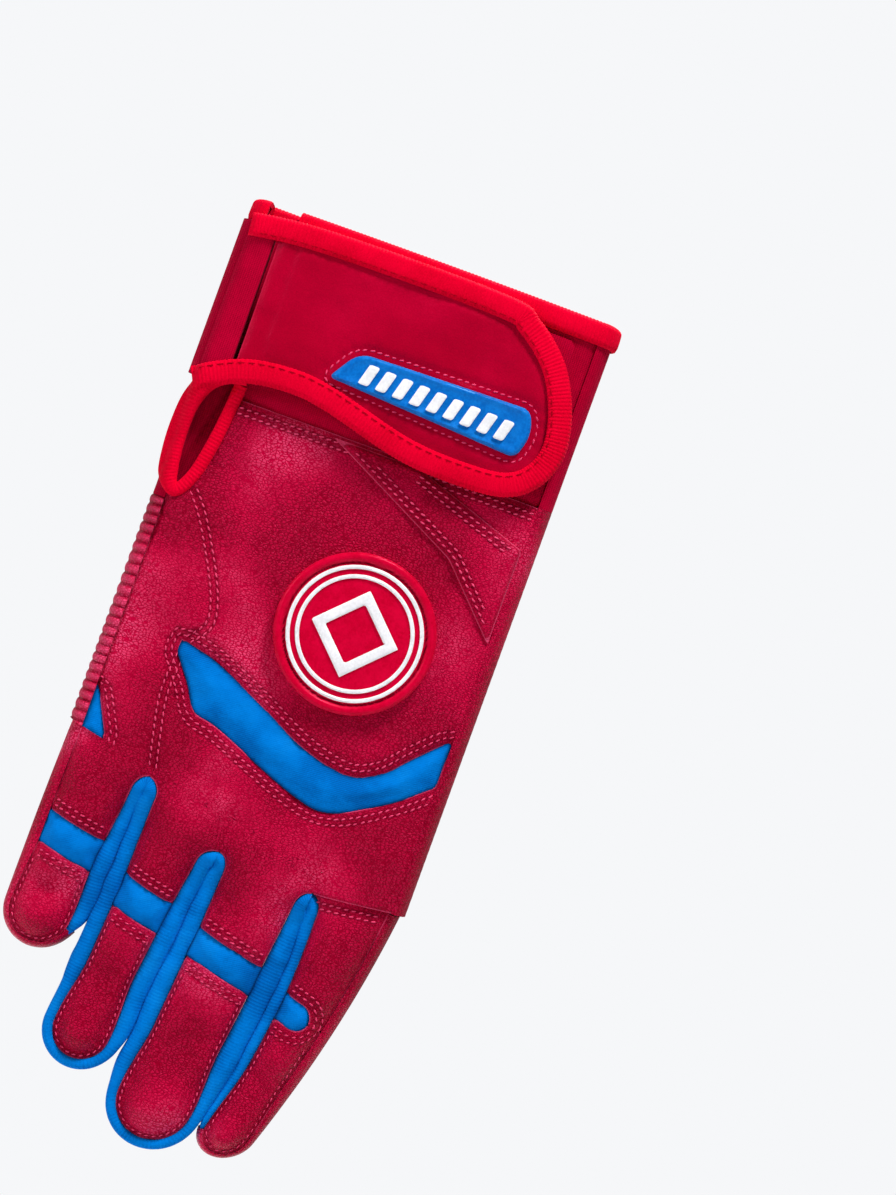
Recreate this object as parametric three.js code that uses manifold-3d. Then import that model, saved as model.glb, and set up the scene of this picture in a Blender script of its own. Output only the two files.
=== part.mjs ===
// Right-hand batting glove, hanging fingers down: back of the hand towards -Y, palm towards +Y,
// thumb side towards +X. Millimetres, +Z up. The origin is the middle of the wrist opening,
// at the top of the cuff. The thumb lies folded across the palm.
import * as THREE from 'three';
import { mergeVertices } from 'three/addons/utils/BufferGeometryUtils.js';
import Module from 'manifold-3d';

const wasm = await Module();
wasm.setup();

// Sheet thicknesses and clearances
const leather = 1.2;
const stretchCloth = 1.0;
const neoprene = 2.4;
const seatGap = 0.3;
const jointGap = 0.4;
const cutOverrun = 60;

// Hand and cuff
const handHalfWidth = 48;
const cuffHeight = 47;
const handLength = 98.5;
const sideBulge = 4;
const sideHalfDepth = 7;
const backCrown = 11;
const palmCrown = 9.4;
const knuckleSlope = 0.2;

// Fingers. Widths at the root, halfway and at the tip are shares of the hand's half width, and
// the bend is how far the tip lies to the little finger's side of the straight line
const fingerHalfDepth = 5;
const fingerBackCrown = 8.4;
const fingerPalmCrown = 7.8;
const gussetWidth = 4.4;
const fingerGap = 0.6;
const middleLength = 83;
const fingerNames = ['pinky', 'ring', 'middle', 'index'];
const fingerWidthShares = {
  pinky: [0.4875, 0.4583, 0.4083],
  ring: [0.4708, 0.4542, 0.4083],
  middle: [0.5083, 0.55, 0.5],
  index: [0.4583, 0.3792, 0.3042],
};
const fingerLengthShares = { pinky: 0.663, ring: 0.904, middle: 1, index: 0.904 };
const fingerWallShares = { pinky: 0.77, ring: 1, middle: 0.95, index: 0.68 };
const fingerBendShares = { pinky: 0.004, ring: 0.003, middle: 0.024, index: 0.125 };
const fingerLeanDegrees = { pinky: 3.0, ring: 5.4, middle: 4.6, index: 3.2 };
// Where the blue flex band crosses each finger, as shares of the finger's length
const bandShares = {
  pinky: [0.4, 0.55],
  ring: [0.35, 0.46],
  middle: [0.34, 0.43],
  index: [0.41, 0.5],
};
const bandSlant = 0.16;
const tipFlatAngle = 75;
const wrapShare = 0.4;
// The outer fingers have leather on their outer side: -1 is the little finger's side
const sideLeather = { pinky: -1, index: 1 };

// Slit, cuff closure and strap
const slitEdgeShare = 0.77;
const slitEdge = -slitEdgeShare * handHalfWidth;
const bindingWidth = 5.2;
const bindingLip = 1.6;
const bindingWall = 0.9;
const slitBindingHeight = 1.2;
const slitBindingWidth = 4.2;
const slitLoopRadius = 4.6;
const slitFootShare = 0.254;
const slitFoot = cuffHeight + slitFootShare * handLength;
const loopPad = 1.2;
const hookPad = 1.0;
const strapSheet = 2.0;
const strapLow = 3.1;
const strapLengthShare = 1.896;
const strapHeightShare = 0.957;
const strapLength = strapLengthShare * handHalfWidth;
const strapHeight = strapHeightShare * cuffHeight;
const strapTopDrop = 2.4;
const strapRootShare = 0.98;
const strapRoot = -strapRootShare * handHalfWidth;
const strapSeamShare = 0.09;
const anchorSheet = 1.2;
const hookSpanShare = [0.38, 0.83];
const hookRiseShare = [0.23, 0.72];
const labelSheet = 1.2;
const labelPrint = 0.5;
const barSpanShare = [0.41, 0.85];
const barRiseShare = [0.56, 0.69, 0.72];
const barLeanShare = 0.02;
const barFillShare = 0.62;

// Badge
const badgeRadius = 20.2;
const badgeSheet = 1.6;
const badgePrint = 0.6;
const badgeAcrossShare = 0.25;
const badgeDownShare = 0.457;
const badgeRingOuterShare = 0.84;
const badgeRingInnerShare = 0.73;
const badgeMarkShare = 0.5;
const badgeMarkInnerShare = 0.36;

// Thumb, a flattened stall over the palm, whose root hinges at the crease on the forefinger side
const thumbDepth = 8.6;
const thumbCrown = 2.6;
const thumbRise = 13;
const thumbEdgeWidth = 3.2;
// Its outline runs from the top of the crease, round the tip, to the foot of the crease
const thumbOutlineShares = [
  [0.81, 0.06], [0.5, 0.13], [0.06, 0.27], [-0.33, 0.45], [-0.58, 0.6], [-0.66, 0.72],
  [-0.64, 0.81], [-0.5, 0.87], [-0.29, 0.895], [-0.08, 0.86], [0.08, 0.78], [0.3, 0.67],
  [0.56, 0.59], [0.85, 0.53],
];
const thumbMouthShares = [
  [0.7, 0.13], [0.36, 0.2], [0.16, 0.31], [0.2, 0.44], [0.5, 0.47], [0.73, 0.46],
];
const mouthSplitShare = 0.1;

// Colours, read as sRGB
const red = 0xb3082c;
const brightRed = 0xe00c22;
const blue = 0x0a6fc2;
const white = 0xeeeef2;

const plateHalf = handHalfWidth - sideBulge;
const handFoot = cuffHeight + handLength;

// Depth of the knuckle line below the cuff top at a place across the hand
const knuckleAt = (across) => handFoot + knuckleSlope * across;
const knuckleAngle = Math.atan(knuckleSlope);

// Rounded height of a flattened tube's face, from its edge up to its crown
const dome = (edge, crown, share) => edge + (crown - edge) * (1 - Math.min(1, share * share));

// The hand is one patch: across is +X, along runs down from the cuff top
function handDepth(crown, fingerCrown) {
  return (across, along) => {
    const share = THREE.MathUtils.clamp((along - cuffHeight) / handLength, 0, 1);
    const height = THREE.MathUtils.lerp(crown, fingerCrown + leather, share * share);
    return dome(sideHalfDepth, height, across / plateHalf);
  };
}

const hand = {
  place: (across, along) => new THREE.Vector2(across, -along),
  back: handDepth(backCrown, fingerBackCrown),
  palm: handDepth(palmCrown, fingerPalmCrown),
};

// Each finger is a patch of its own, leaning from its base on the knuckle line
function makeFinger(name, baseAcross) {
  const lean = THREE.MathUtils.degToRad(fingerLeanDegrees[name]);
  const base = new THREE.Vector2(baseAcross, -knuckleAt(baseAcross));
  const [half, midHalf, tipHalf] = fingerWidthShares[name].map((s) => (s * handHalfWidth) / 2);
  const wall = fingerWallShares[name] * gussetWidth;
  const length = fingerLengthShares[name] * middleLength;
  const bend = fingerBendShares[name] * length;
  const edgeTipHalf = tipHalf - wall;
  const capCentre = length - wall - edgeTipHalf;
  const [rootEdge, midEdge] = [half - wall, midHalf - wall];
  const bow = 4 * midEdge - 2 * rootEdge - 2 * edgeTipHalf;
  const edgeAt = (along) => {
    if (along > capCentre) {
      const past = Math.min(along - capCentre, edgeTipHalf);
      return Math.sqrt(edgeTipHalf ** 2 - past ** 2);
    }
    const share = Math.max(0, along / capCentre);
    return THREE.MathUtils.lerp(rootEdge, edgeTipHalf, share) + bow * share * (1 - share);
  };
  const flatFoot = capCentre + edgeTipHalf * Math.sin(THREE.MathUtils.degToRad(tipFlatAngle));
  const crownAt = (crown) => (across, along) => {
    const fall = THREE.MathUtils.clamp((along - capCentre) / edgeTipHalf, 0, 1);
    const height = THREE.MathUtils.lerp(crown, fingerHalfDepth, fall * fall);
    return dome(fingerHalfDepth, height, across / edgeAt(Math.min(along, flatFoot)));
  };
  return {
    length,
    wall,
    edgeTipHalf,
    capCentre,
    edgeAt,
    place: (across, along) => {
      const shifted = across - bend * (Math.max(0, along) / length) ** 2;
      return new THREE.Vector2(
        base.x + shifted * Math.cos(lean) - along * Math.sin(lean),
        base.y - shifted * Math.sin(lean) - along * Math.cos(lean),
      );
    },
    back: crownAt(fingerBackCrown),
    palm: crownAt(fingerPalmCrown),
    // The base row follows the knuckle line, which is steeper than the finger's own square
    start: (across) => jointGap + across * Math.tan(knuckleAngle - lean),
  };
}

// Solids and geometries
function outwardGeometry(positions, index) {
  let volume = 0;
  const corner = (k) => new THREE.Vector3().fromArray(positions, 3 * k);
  for (let k = 0; k < index.length; k += 3) {
    const [a, b, c] = [corner(index[k]), corner(index[k + 1]), corner(index[k + 2])];
    volume += a.dot(b.cross(c));
  }
  const turned = [];
  for (let k = 0; k < index.length; k += 3) {
    const [a, b, c] = [index[k], index[k + 1], index[k + 2]];
    turned.push(...(volume < 0 ? [a, c, b] : [a, b, c]));
  }
  const geometry = new THREE.BufferGeometry();
  geometry.setAttribute('position', new THREE.Float32BufferAttribute(positions, 3));
  geometry.setIndex(turned);
  return geometry;
}

function solidOf(geometry) {
  const bare = geometry.clone();
  bare.deleteAttribute('normal');
  bare.deleteAttribute('uv');
  const merged = mergeVertices(bare);
  const mesh = new wasm.Mesh({
    numProp: 3,
    vertProperties: new Float32Array(merged.attributes.position.array),
    triVerts: new Uint32Array(merged.index.array),
  });
  return new wasm.Manifold(mesh);
}

function geometryOf(solid) {
  const mesh = solid.getMesh();
  const geometry = new THREE.BufferGeometry();
  geometry.setAttribute('position', new THREE.BufferAttribute(mesh.vertProperties, 3));
  geometry.setIndex(new THREE.BufferAttribute(mesh.triVerts, 1));
  return geometry;
}

// A closed sheet between two faces of a grid. pointAt takes shares across and along, and a face
function closedSheet(cols, rows, pointAt) {
  const positions = [];
  const index = [];
  const wide = cols + 1;
  const layer = wide * (rows + 1);
  for (const face of [0, 1]) {
    for (let j = 0; j <= rows; j++) {
      for (let i = 0; i <= cols; i++) {
        positions.push(...pointAt(i / cols, j / rows, face).toArray());
      }
    }
  }
  const at = (i, j, face) => face * layer + j * wide + i;
  const quad = (a, b, c, d) => index.push(a, b, c, a, c, d);
  for (let j = 0; j < rows; j++) {
    for (let i = 0; i < cols; i++) {
      quad(at(i, j, 0), at(i + 1, j, 0), at(i + 1, j + 1, 0), at(i, j + 1, 0));
      quad(at(i, j, 1), at(i, j + 1, 1), at(i + 1, j + 1, 1), at(i + 1, j, 1));
    }
  }
  for (let i = 0; i < cols; i++) {
    quad(at(i, 0, 0), at(i, 0, 1), at(i + 1, 0, 1), at(i + 1, 0, 0));
    quad(at(i + 1, rows, 0), at(i + 1, rows, 1), at(i, rows, 1), at(i, rows, 0));
  }
  for (let j = 0; j < rows; j++) {
    quad(at(0, j + 1, 0), at(0, j + 1, 1), at(0, j, 1), at(0, j, 0));
    quad(at(cols, j, 0), at(cols, j, 1), at(cols, j + 1, 1), at(cols, j + 1, 0));
  }
  return outwardGeometry(positions, index);
}

// side is -1 for the back of the glove and 1 for the palm
const backSide = -1;
const palmSide = 1;
const faceDepth = (patch, side) => (side === backSide ? patch.back : patch.palm);

// A sheet on a patch, from low to high above its face. spot takes shares to [across, along]
function patchSheet(patch, side, spot, cols, rows, low, high) {
  const depth = faceDepth(patch, side);
  return closedSheet(cols, rows, (a, b, face) => {
    const [across, along] = spot(a, b);
    const { x, y } = patch.place(across, along);
    return new THREE.Vector3(x, side * (depth(across, along) + (face ? high : low)), y);
  });
}

// A prism through one side of the glove, from an outline of [across, along] on a patch
function cutter(patch, side, points) {
  const shape = new THREE.Shape(points.map(([across, along]) => patch.place(across, along)));
  const geometry = new THREE.ExtrudeGeometry(shape, { depth: cutOverrun, bevelEnabled: false });
  geometry.rotateX(Math.PI / 2);
  if (side === palmSide) geometry.translate(0, cutOverrun, 0);
  return solidOf(geometry);
}

// A band of one cross-section along a path on a patch. section holds [outward, depth] pairs
function sweep(path, section, vertexAt, closed = false) {
  const positions = [];
  const index = [];
  const ring = section.length;
  path.forEach((station) => {
    section.forEach((corner) => positions.push(...vertexAt(station, corner).toArray()));
  });
  const spans = closed ? path.length : path.length - 1;
  for (let k = 0; k < spans; k++) {
    const next = (k + 1) % path.length;
    for (let m = 0; m < ring; m++) {
      const n = (m + 1) % ring;
      const [a, b, c, d] = [k * ring + m, k * ring + n, next * ring + n, next * ring + m];
      index.push(a, b, c, a, c, d);
    }
  }
  if (!closed) {
    const flat = section.map(([out, depth]) => new THREE.Vector2(out, depth));
    const last = (path.length - 1) * ring;
    const clockwise = THREE.ShapeUtils.isClockWise(flat);
    for (const [a, b, c] of THREE.ShapeUtils.triangulateShape(flat, [])) {
      const [p, q] = clockwise ? [b, c] : [c, b];
      index.push(a, p, q, last + a, last + q, last + p);
    }
  }
  return outwardGeometry(positions, index);
}

// Stations along [across, along] points, each with the outward normal on the right of travel
function stations(points, closed = false) {
  const count = points.length;
  return points.map(([across, along], k) => {
    const before = points[closed ? (k + count - 1) % count : Math.max(0, k - 1)];
    const after = points[closed ? (k + 1) % count : Math.min(count - 1, k + 1)];
    const way = new THREE.Vector2(after[0] - before[0], after[1] - before[1]).normalize();
    return { across, along, out: [way.y, -way.x] };
  });
}

// A corner of a section carried on a face of a patch, standing off that face by the depth given
const onFace = (patch, side) => (station, [out, depth]) => {
  const across = station.across + station.out[0] * out;
  const along = station.along + station.out[1] * out;
  const { x, y } = patch.place(across, along);
  return new THREE.Vector3(x, side * (faceDepth(patch, side)(across, along) + depth), y);
};

// A corner of a section that spans the glove's edge, with its depth from the middle plane
const onEdge = (patch) => (station, [out, depth]) => {
  const across = station.across + station.out[0] * out;
  const along = station.along + station.out[1] * out;
  const { x, y } = patch.place(across, along);
  return new THREE.Vector3(x, depth, y);
};

// The C-shaped section of a side wall, which bulges outward between the two faces
function sideSection(halfDepth, bulge, wall, steps) {
  const arc = (reach, height) =>
    Array.from({ length: steps + 1 }, (_, k) => {
      const angle = -Math.PI / 2 + (Math.PI * k) / steps;
      return [seatGap + reach * Math.cos(angle), height * Math.sin(angle)];
    });
  const outer = arc(bulge, halfDepth);
  const inner = arc(bulge - wall, halfDepth - wall).reverse();
  return [...outer, ...inner];
}

// The folded tape that wraps a sheet's edge: lip inward over both faces, and a wall outside
function tapeSection(sheetLow, sheetHigh, width, wall) {
  const low = sheetLow - seatGap;
  const high = sheetHigh + seatGap;
  const lip = width - wall;
  return [
    [-lip, high + wall],
    [seatGap + wall, high + wall],
    [seatGap + wall, low - wall],
    [-lip, low - wall],
    [-lip, low],
    [seatGap, low],
    [seatGap, high],
    [-lip, high],
  ];
}

const glove = new THREE.Group();
const finishes = {
  smoothLeather: new THREE.MeshStandardMaterial({ color: red, roughness: 0.55, metalness: 0 }),
  gripLeather: new THREE.MeshStandardMaterial({ color: red, roughness: 0.6, metalness: 0 }),
  stretch: new THREE.MeshStandardMaterial({ color: blue, roughness: 0.75, metalness: 0 }),
  cuffCloth: new THREE.MeshStandardMaterial({ color: red, roughness: 0.85, metalness: 0 }),
  tape: new THREE.MeshStandardMaterial({ color: brightRed, roughness: 0.8, metalness: 0 }),
  redRubber: new THREE.MeshStandardMaterial({ color: brightRed, roughness: 0.4, metalness: 0 }),
  blueRubber: new THREE.MeshStandardMaterial({ color: blue, roughness: 0.4, metalness: 0 }),
  whiteRubber: new THREE.MeshStandardMaterial({ color: white, roughness: 0.4, metalness: 0 }),
};

function addMesh(group, name, shape, finish) {
  const geometry = shape.isBufferGeometry ? shape : geometryOf(shape);
  const mesh = new THREE.Mesh(geometry, finishes[finish]);
  mesh.name = name;
  group.add(mesh);
}

function splinePoints(controls, count) {
  const curve = new THREE.SplineCurve(controls.map(([x, y]) => new THREE.Vector2(x, y)));
  return curve.getPoints(count).map(({ x, y }) => [x, y]);
}

const handSpot = ([acrossShare, alongShare]) => [
  acrossShare * handHalfWidth,
  cuffHeight + alongShare * handLength,
];

// Back of the hand: leather panel, overlay, blue flex inserts and side walls
const backSpot = (a, b) => {
  const across = THREE.MathUtils.lerp(-plateHalf, plateHalf, a);
  const top = cuffHeight + seatGap;
  return [across, THREE.MathUtils.lerp(top, knuckleAt(across), b)];
};

// Outline of the knuckle insert, as shares of the hand's half width and length
const insertTopShares = [
  [-0.58, 0.62], [-0.4, 0.64], [-0.11, 0.7], [0.19, 0.77], [0.45, 0.8], [0.62, 0.77], [0.74, 0.71],
  [0.89, 0.64], [1.0, 0.6],
];
const insertFootShares = [
  [1.0, 0.72], [0.88, 0.76], [0.71, 0.83], [0.45, 0.9], [0.23, 0.89], [-0.24, 0.8], [-0.39, 0.78],
  [-0.47, 0.72], [-0.58, 0.65],
];
const sideInsertShares = [[-1.1, 0.8], [-0.9, 0.83], [-0.76, 0.93], [-1.1, 0.94]];
// The overlay crosses the back from the cuff seam to the thumb side
const overlayShares = [[-0.2, 0.01], [0.57, 0.2], [0.81, 0.32], [1.1, 0.43], [1.1, 0.15], [0.27, 0.01]];

const insetOutline = (points, gap) => {
  const path = stations(points, true);
  const turn = THREE.ShapeUtils.isClockWise(points.map(([x, y]) => new THREE.Vector2(x, y))) ? 1 : -1;
  return path.map(({ across, along, out }) => [
    across + turn * out[0] * gap,
    along + turn * out[1] * gap,
  ]);
};

// The bound slit runs down from the cuff on the little finger's side and turns at its foot
function slitPath(from, to) {
  const centre = [slitEdge - slitLoopRadius, slitFoot];
  const turn = Array.from({ length: 9 }, (_, k) => {
    const angle = (Math.PI * k) / 8;
    return [
      centre[0] + slitLoopRadius * Math.cos(angle),
      centre[1] + slitLoopRadius * Math.sin(angle),
    ];
  });
  const leftEdge = slitEdge - 2 * slitLoopRadius;
  return [[slitEdge, from], [slitEdge, cuffHeight], ...turn, [leftEdge, to]];
}

function buildBack(group) {
  const insertSteps = 14;
  const insert = [
    ...splinePoints(insertTopShares.map(handSpot), insertSteps),
    ...splinePoints(insertFootShares.map(handSpot), insertSteps),
  ];
  const sideInsert = sideInsertShares.map(handSpot);
  const slit = [...slitPath(0, slitFoot), [-handHalfWidth, slitFoot], [-handHalfWidth, 0]];
  const panel = solidOf(patchSheet(hand, backSide, backSpot, 14, 12, -leather, 0));
  const cloth = solidOf(patchSheet(hand, backSide, backSpot, 14, 12, -stretchCloth, 0));
  const leatherPanel = panel
    .subtract(cutter(hand, backSide, insert))
    .subtract(cutter(hand, backSide, sideInsert))
    .subtract(cutter(hand, backSide, slit));
  addMesh(group, 'back_panel', leatherPanel, 'smoothLeather');
  const insertFill = cutter(hand, backSide, insetOutline(insert, seatGap));
  const sideFill = cutter(hand, backSide, insetOutline(sideInsert, seatGap));
  addMesh(group, 'knuckle_insert', cloth.intersect(insertFill), 'stretch');
  addMesh(group, 'side_insert', cloth.intersect(sideFill), 'stretch');

  const overlaySheet = patchSheet(hand, backSide, backSpot, 10, 10, seatGap, seatGap + leather);
  const overlay = cutter(hand, backSide, overlayShares.map(handSpot));
  addMesh(group, 'back_overlay', solidOf(overlaySheet).intersect(overlay), 'smoothLeather');
}

// Palm: smooth heel above, embossed grip leather below, joined across the palm
const palmJoinShare = 0.5;
function buildPalm(group) {
  const join = cuffHeight + palmJoinShare * handLength;
  const heelSpot = (a, b) => [
    THREE.MathUtils.lerp(-plateHalf, plateHalf, a),
    THREE.MathUtils.lerp(cuffHeight + seatGap, join, b),
  ];
  const gripSpot = (a, b) => {
    const across = THREE.MathUtils.lerp(-plateHalf, plateHalf, a);
    return [across, THREE.MathUtils.lerp(join + seatGap, knuckleAt(across), b)];
  };
  // The thumb passes through a mouth in the heel into its stall
  const heel = solidOf(patchSheet(hand, palmSide, heelSpot, 12, 6, -leather, 0));
  const mouth = cutter(hand, palmSide, splinePoints(thumbMouthShares.map(handSpot), 18));
  addMesh(group, 'palm_heel', heel.subtract(mouth), 'smoothLeather');
  addMesh(group, 'palm_grip', patchSheet(hand, palmSide, gripSpot, 12, 6, -leather, 0), 'gripLeather');
}

// Side walls of hand and cuff: a C-shaped strip down each edge
function sideWall(side, top, foot, wall, steps) {
  const across = side * plateHalf;
  const points = Array.from({ length: steps + 1 }, (_, k) => [
    across,
    THREE.MathUtils.lerp(top, foot, k / steps),
  ]);
  const path = points.map(([x, along]) => ({ across: x, along, out: [side, 0] }));
  // The foot is cut along the knuckle line
  const seated = (station, [out, depth]) => {
    const across = station.across + station.out[0] * out;
    const { x, y } = hand.place(across, Math.min(station.along, knuckleAt(across)));
    return new THREE.Vector3(x, depth, y);
  };
  return sweep(path, sideSection(sideHalfDepth, sideBulge - seatGap, wall, 6), seated);
}

function buildSides(group) {
  const handTop = cuffHeight + seatGap;
  const slitTop = slitFoot + slitLoopRadius + seatGap;
  const foot = (side) => knuckleAt(side * plateHalf);
  addMesh(group, 'pinky_side_piping', sideWall(-1, slitTop, foot(-1), leather, 6), 'smoothLeather');
  addMesh(group, 'thumb_side_wall', sideWall(1, handTop, foot(1), leather, 6), 'smoothLeather');
}

// Cuff: neoprene front and back, one thumb-side wall, bound top edges, and the slit's bound edge
function buildCuff(group) {
  const frontSpot = (a, b) => [
    THREE.MathUtils.lerp(slitEdge, plateHalf, a),
    THREE.MathUtils.lerp(0, cuffHeight, b),
  ];
  const rearSpot = (a, b) => [
    THREE.MathUtils.lerp(-plateHalf, plateHalf, a),
    THREE.MathUtils.lerp(0, cuffHeight, b),
  ];
  addMesh(group, 'cuff_back', patchSheet(hand, backSide, frontSpot, 10, 4, -neoprene, 0), 'cuffCloth');
  addMesh(group, 'cuff_palm', patchSheet(hand, palmSide, rearSpot, 10, 4, -neoprene, 0), 'cuffCloth');
  addMesh(group, 'cuff_thumb_side', sideWall(1, 0, cuffHeight, leather, 2), 'cuffCloth');
  addMesh(group, 'cuff_pinky_side', sideWall(-1, 0, slitFoot + slitLoopRadius, leather, 4), 'cuffCloth');

  const tape = tapeSection(-neoprene, 0, bindingWidth, bindingWall);
  const topEdge = (from, to) =>
    Array.from({ length: 9 }, (_, k) => ({
      across: THREE.MathUtils.lerp(from, to, k / 8),
      along: 0,
      out: [0, -1],
    }));
  const endGap = seatGap + bindingWall;
  const backTape = sweep(topEdge(slitEdge + endGap, plateHalf), tape, onFace(hand, backSide));
  const palmTape = sweep(topEdge(-plateHalf, plateHalf), tape, onFace(hand, palmSide));
  addMesh(group, 'cuff_back_binding', backTape, 'tape');
  addMesh(group, 'cuff_palm_binding', palmTape, 'tape');

  // Hook-and-loop landing on the outside of the cuff, clear of its bound top edge
  const padSpot = (a, b) => [
    THREE.MathUtils.lerp(slitEdge + bindingWidth, plateHalf - bindingWidth, a),
    THREE.MathUtils.lerp(bindingWidth + seatGap, cuffHeight - bindingWidth, b),
  ];
  const pad = patchSheet(hand, backSide, padSpot, 8, 3, seatGap, seatGap + loopPad);
  addMesh(group, 'loop_pad', pad, 'cuffCloth');
}

// The slit's binding lies on its edge; the cuff's own left edge carries the same tape
function buildSlitBinding(group) {
  const half = slitBindingWidth / 2;
  const top = seatGap + slitBindingHeight;
  const shoulder = seatGap + slitBindingHeight / 2;
  const chamfer = half - slitBindingHeight / 2;
  const section = [
    [-half, seatGap],
    [half, seatGap],
    [half, shoulder],
    [chamfer, top],
    [-chamfer, top],
    [-half, shoulder],
  ];
  const path = slitPath(bindingWidth + seatGap, strapHeight + 2 * jointGap);
  const tape = sweep(stations(path), section, onFace(hand, backSide));
  addMesh(group, 'slit_binding', tape, 'tape');
}

// Badge: a round rubber plate with a raised ring and a raised square on its corner
function buildBadge(group) {
  const place = (acrossShare, alongShare) => [
    badgeAcrossShare * handHalfWidth + acrossShare * badgeRadius,
    cuffHeight + badgeDownShare * handLength + alongShare * badgeRadius,
  ];
  const square = (a, b) => place(2 * a - 1, 2 * b - 1);
  const circle = (share) =>
    Array.from({ length: 30 }, (_, k) => {
      const angle = (2 * Math.PI * k) / 30;
      return place(share * Math.cos(angle), share * Math.sin(angle));
    });
  const disc = (share) => cutter(hand, backSide, circle(share));
  const diamond = (share) =>
    cutter(hand, backSide, [place(share, 0), place(0, share), place(-share, 0), place(0, -share)]);
  const printLow = seatGap + badgeSheet + seatGap;
  const plate = patchSheet(hand, backSide, square, 4, 4, seatGap, seatGap + badgeSheet);
  const print = patchSheet(hand, backSide, square, 4, 4, printLow, printLow + badgePrint);
  addMesh(group, 'badge_plate', solidOf(plate).intersect(disc(1)), 'redRubber');
  const ring = solidOf(print).intersect(disc(badgeRingOuterShare));
  addMesh(group, 'badge_ring', ring.subtract(disc(badgeRingInnerShare)), 'whiteRubber');
  const mark = solidOf(print).intersect(diamond(badgeMarkShare));
  addMesh(group, 'badge_mark', mark.subtract(diamond(badgeMarkInnerShare)), 'whiteRubber');
}

// One finger: three back pieces, a palm piece, and side walls of stretch cloth or leather
function buildFinger(group, name, baseAcross) {
  const finger = makeFinger(name, baseAcross);
  const { edgeAt, start, capCentre, edgeTipHalf, length } = finger;
  const [bandStart, bandEnd] = bandShares[name].map((share) => share * length);
  const tipAngle = THREE.MathUtils.degToRad(tipFlatAngle);
  const capRow = (share) => capCentre + edgeTipHalf * Math.sin(share * tipAngle);

  // rows lists where each row crosses the middle; slants says how far it slopes there
  const piece = (side, rows, slantAt, thickness) => {
    const spot = (a, b) => {
      const row = rows[Math.round(b * (rows.length - 1))];
      const rough = edgeAt(Math.min(row, capRow(1))) * (2 * a - 1);
      const along = Math.min(row + slantAt(b) * rough, capRow(1));
      return [edgeAt(along) * (2 * a - 1), along];
    };
    return patchSheet(finger, side, spot, 6, rows.length - 1, -thickness, 0);
  };
  const rowsBetween = (from, to, count) =>
    Array.from({ length: count + 1 }, (_, k) => THREE.MathUtils.lerp(from, to, k / count));
  const capRows = Array.from({ length: 6 }, (_, k) => capRow(k / 5));
  const rootSlant = Math.tan(knuckleAngle - THREE.MathUtils.degToRad(fingerLeanDegrees[name]));
  const blendSlant = (from, to) => (b) => THREE.MathUtils.lerp(from, to, b);

  const baseRows = rowsBetween(jointGap, bandStart, 3);
  const base = piece(backSide, baseRows, blendSlant(rootSlant, bandSlant), leather);
  addMesh(group, `${name}_back`, base, 'smoothLeather');
  const bandRows = rowsBetween(bandStart + seatGap, bandEnd - seatGap, 2);
  const band = piece(backSide, bandRows, () => bandSlant, stretchCloth);
  addMesh(group, `${name}_flex_band`, band, 'stretch');
  const tipRows = [...rowsBetween(bandEnd, capCentre, 3), ...capRows.slice(1)];
  const tip = piece(backSide, tipRows, blendSlant(bandSlant, 0), leather);
  addMesh(group, `${name}_tip_back`, tip, 'smoothLeather');
  const palmRows = [...rowsBetween(jointGap, capCentre, 6), ...capRows.slice(1)];
  const palm = piece(palmSide, palmRows, blendSlant(rootSlant, 0), leather);
  addMesh(group, `${name}_palm`, palm, 'gripLeather');

  // The side walls follow the leather's edge, down one side, round the tip and up the other
  const sideRows = [...rowsBetween(0, capCentre, 6).slice(1), ...capRows.slice(1)];
  const edge = (sign, rows) => rows.map((row) => [sign * edgeAt(row), row]);
  const down = (sign) => edge(sign, [start(sign * edgeAt(0)), ...sideRows]);
  // A wall's root end is cut along the knuckle line, like the pieces beside it
  const seated = (station, [out, depth]) => {
    const across = station.across + station.out[0] * out;
    const along = station.along + station.out[1] * out;
    const row = station.along < sideRows[0] ? start(across) : along;
    const { x, y } = finger.place(across, row);
    return new THREE.Vector3(x, depth, y);
  };
  const wall = (path, thickness) =>
    sweep(
      stations(path),
      sideSection(fingerHalfDepth, finger.wall - seatGap, thickness, 5),
      seated,
    );
  // Travelling down the right side and up the left keeps the outside on the right of travel
  const around = [...down(1), ...down(-1).reverse()];
  if (!sideLeather[name]) {
    addMesh(group, `${name}_gusset`, wall(around, stretchCloth), 'stretch');
    return;
  }
  const outer = sideLeather[name];
  const wrapRow = capRow(wrapShare);
  const inside = down(-outer).filter(([, row]) => row < wrapRow);
  inside.push([-outer * edgeAt(wrapRow), wrapRow]);
  const past = down(-outer).filter(([, row]) => row > wrapRow + leather);
  const nearWrap = wrapRow + seatGap;
  const outside = [[-outer * edgeAt(nearWrap), nearWrap], ...past];
  const leatherPath = [...down(outer), ...outside.reverse()];
  const oriented = (path, firstSide) => (firstSide === 1 ? path : [...path].reverse());
  const gusset = wall(oriented(inside, -outer), stretchCloth);
  const leatherWall = wall(oriented(leatherPath, outer), leather);
  addMesh(group, `${name}_gusset`, gusset, 'stretch');
  addMesh(group, `${name}_outer_wall`, leatherWall, 'smoothLeather');
}

// Strap: a bound tab that lies over the cuff and hinges at the little finger's side
const strapOutlineShares = [
  [0, 0.04], [0.22, 0], [0.72, 0], [0.82, 0.06], [0.92, 0.23], [0.98, 0.46], [1, 0.68], [0.97, 0.86],
  [0.9, 0.97], [0.78, 1], [0.6, 0.98], [0.36, 0.86], [0.24, 0.84], [0.12, 0.88], [0, 1],
];
const labelShares = [[0.34, 0.73], [0.38, 0.56], [0.5, 0.52], [0.87, 0.52], [0.895, 0.68], [0.865, 0.8]];
const barCount = 6;

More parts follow.
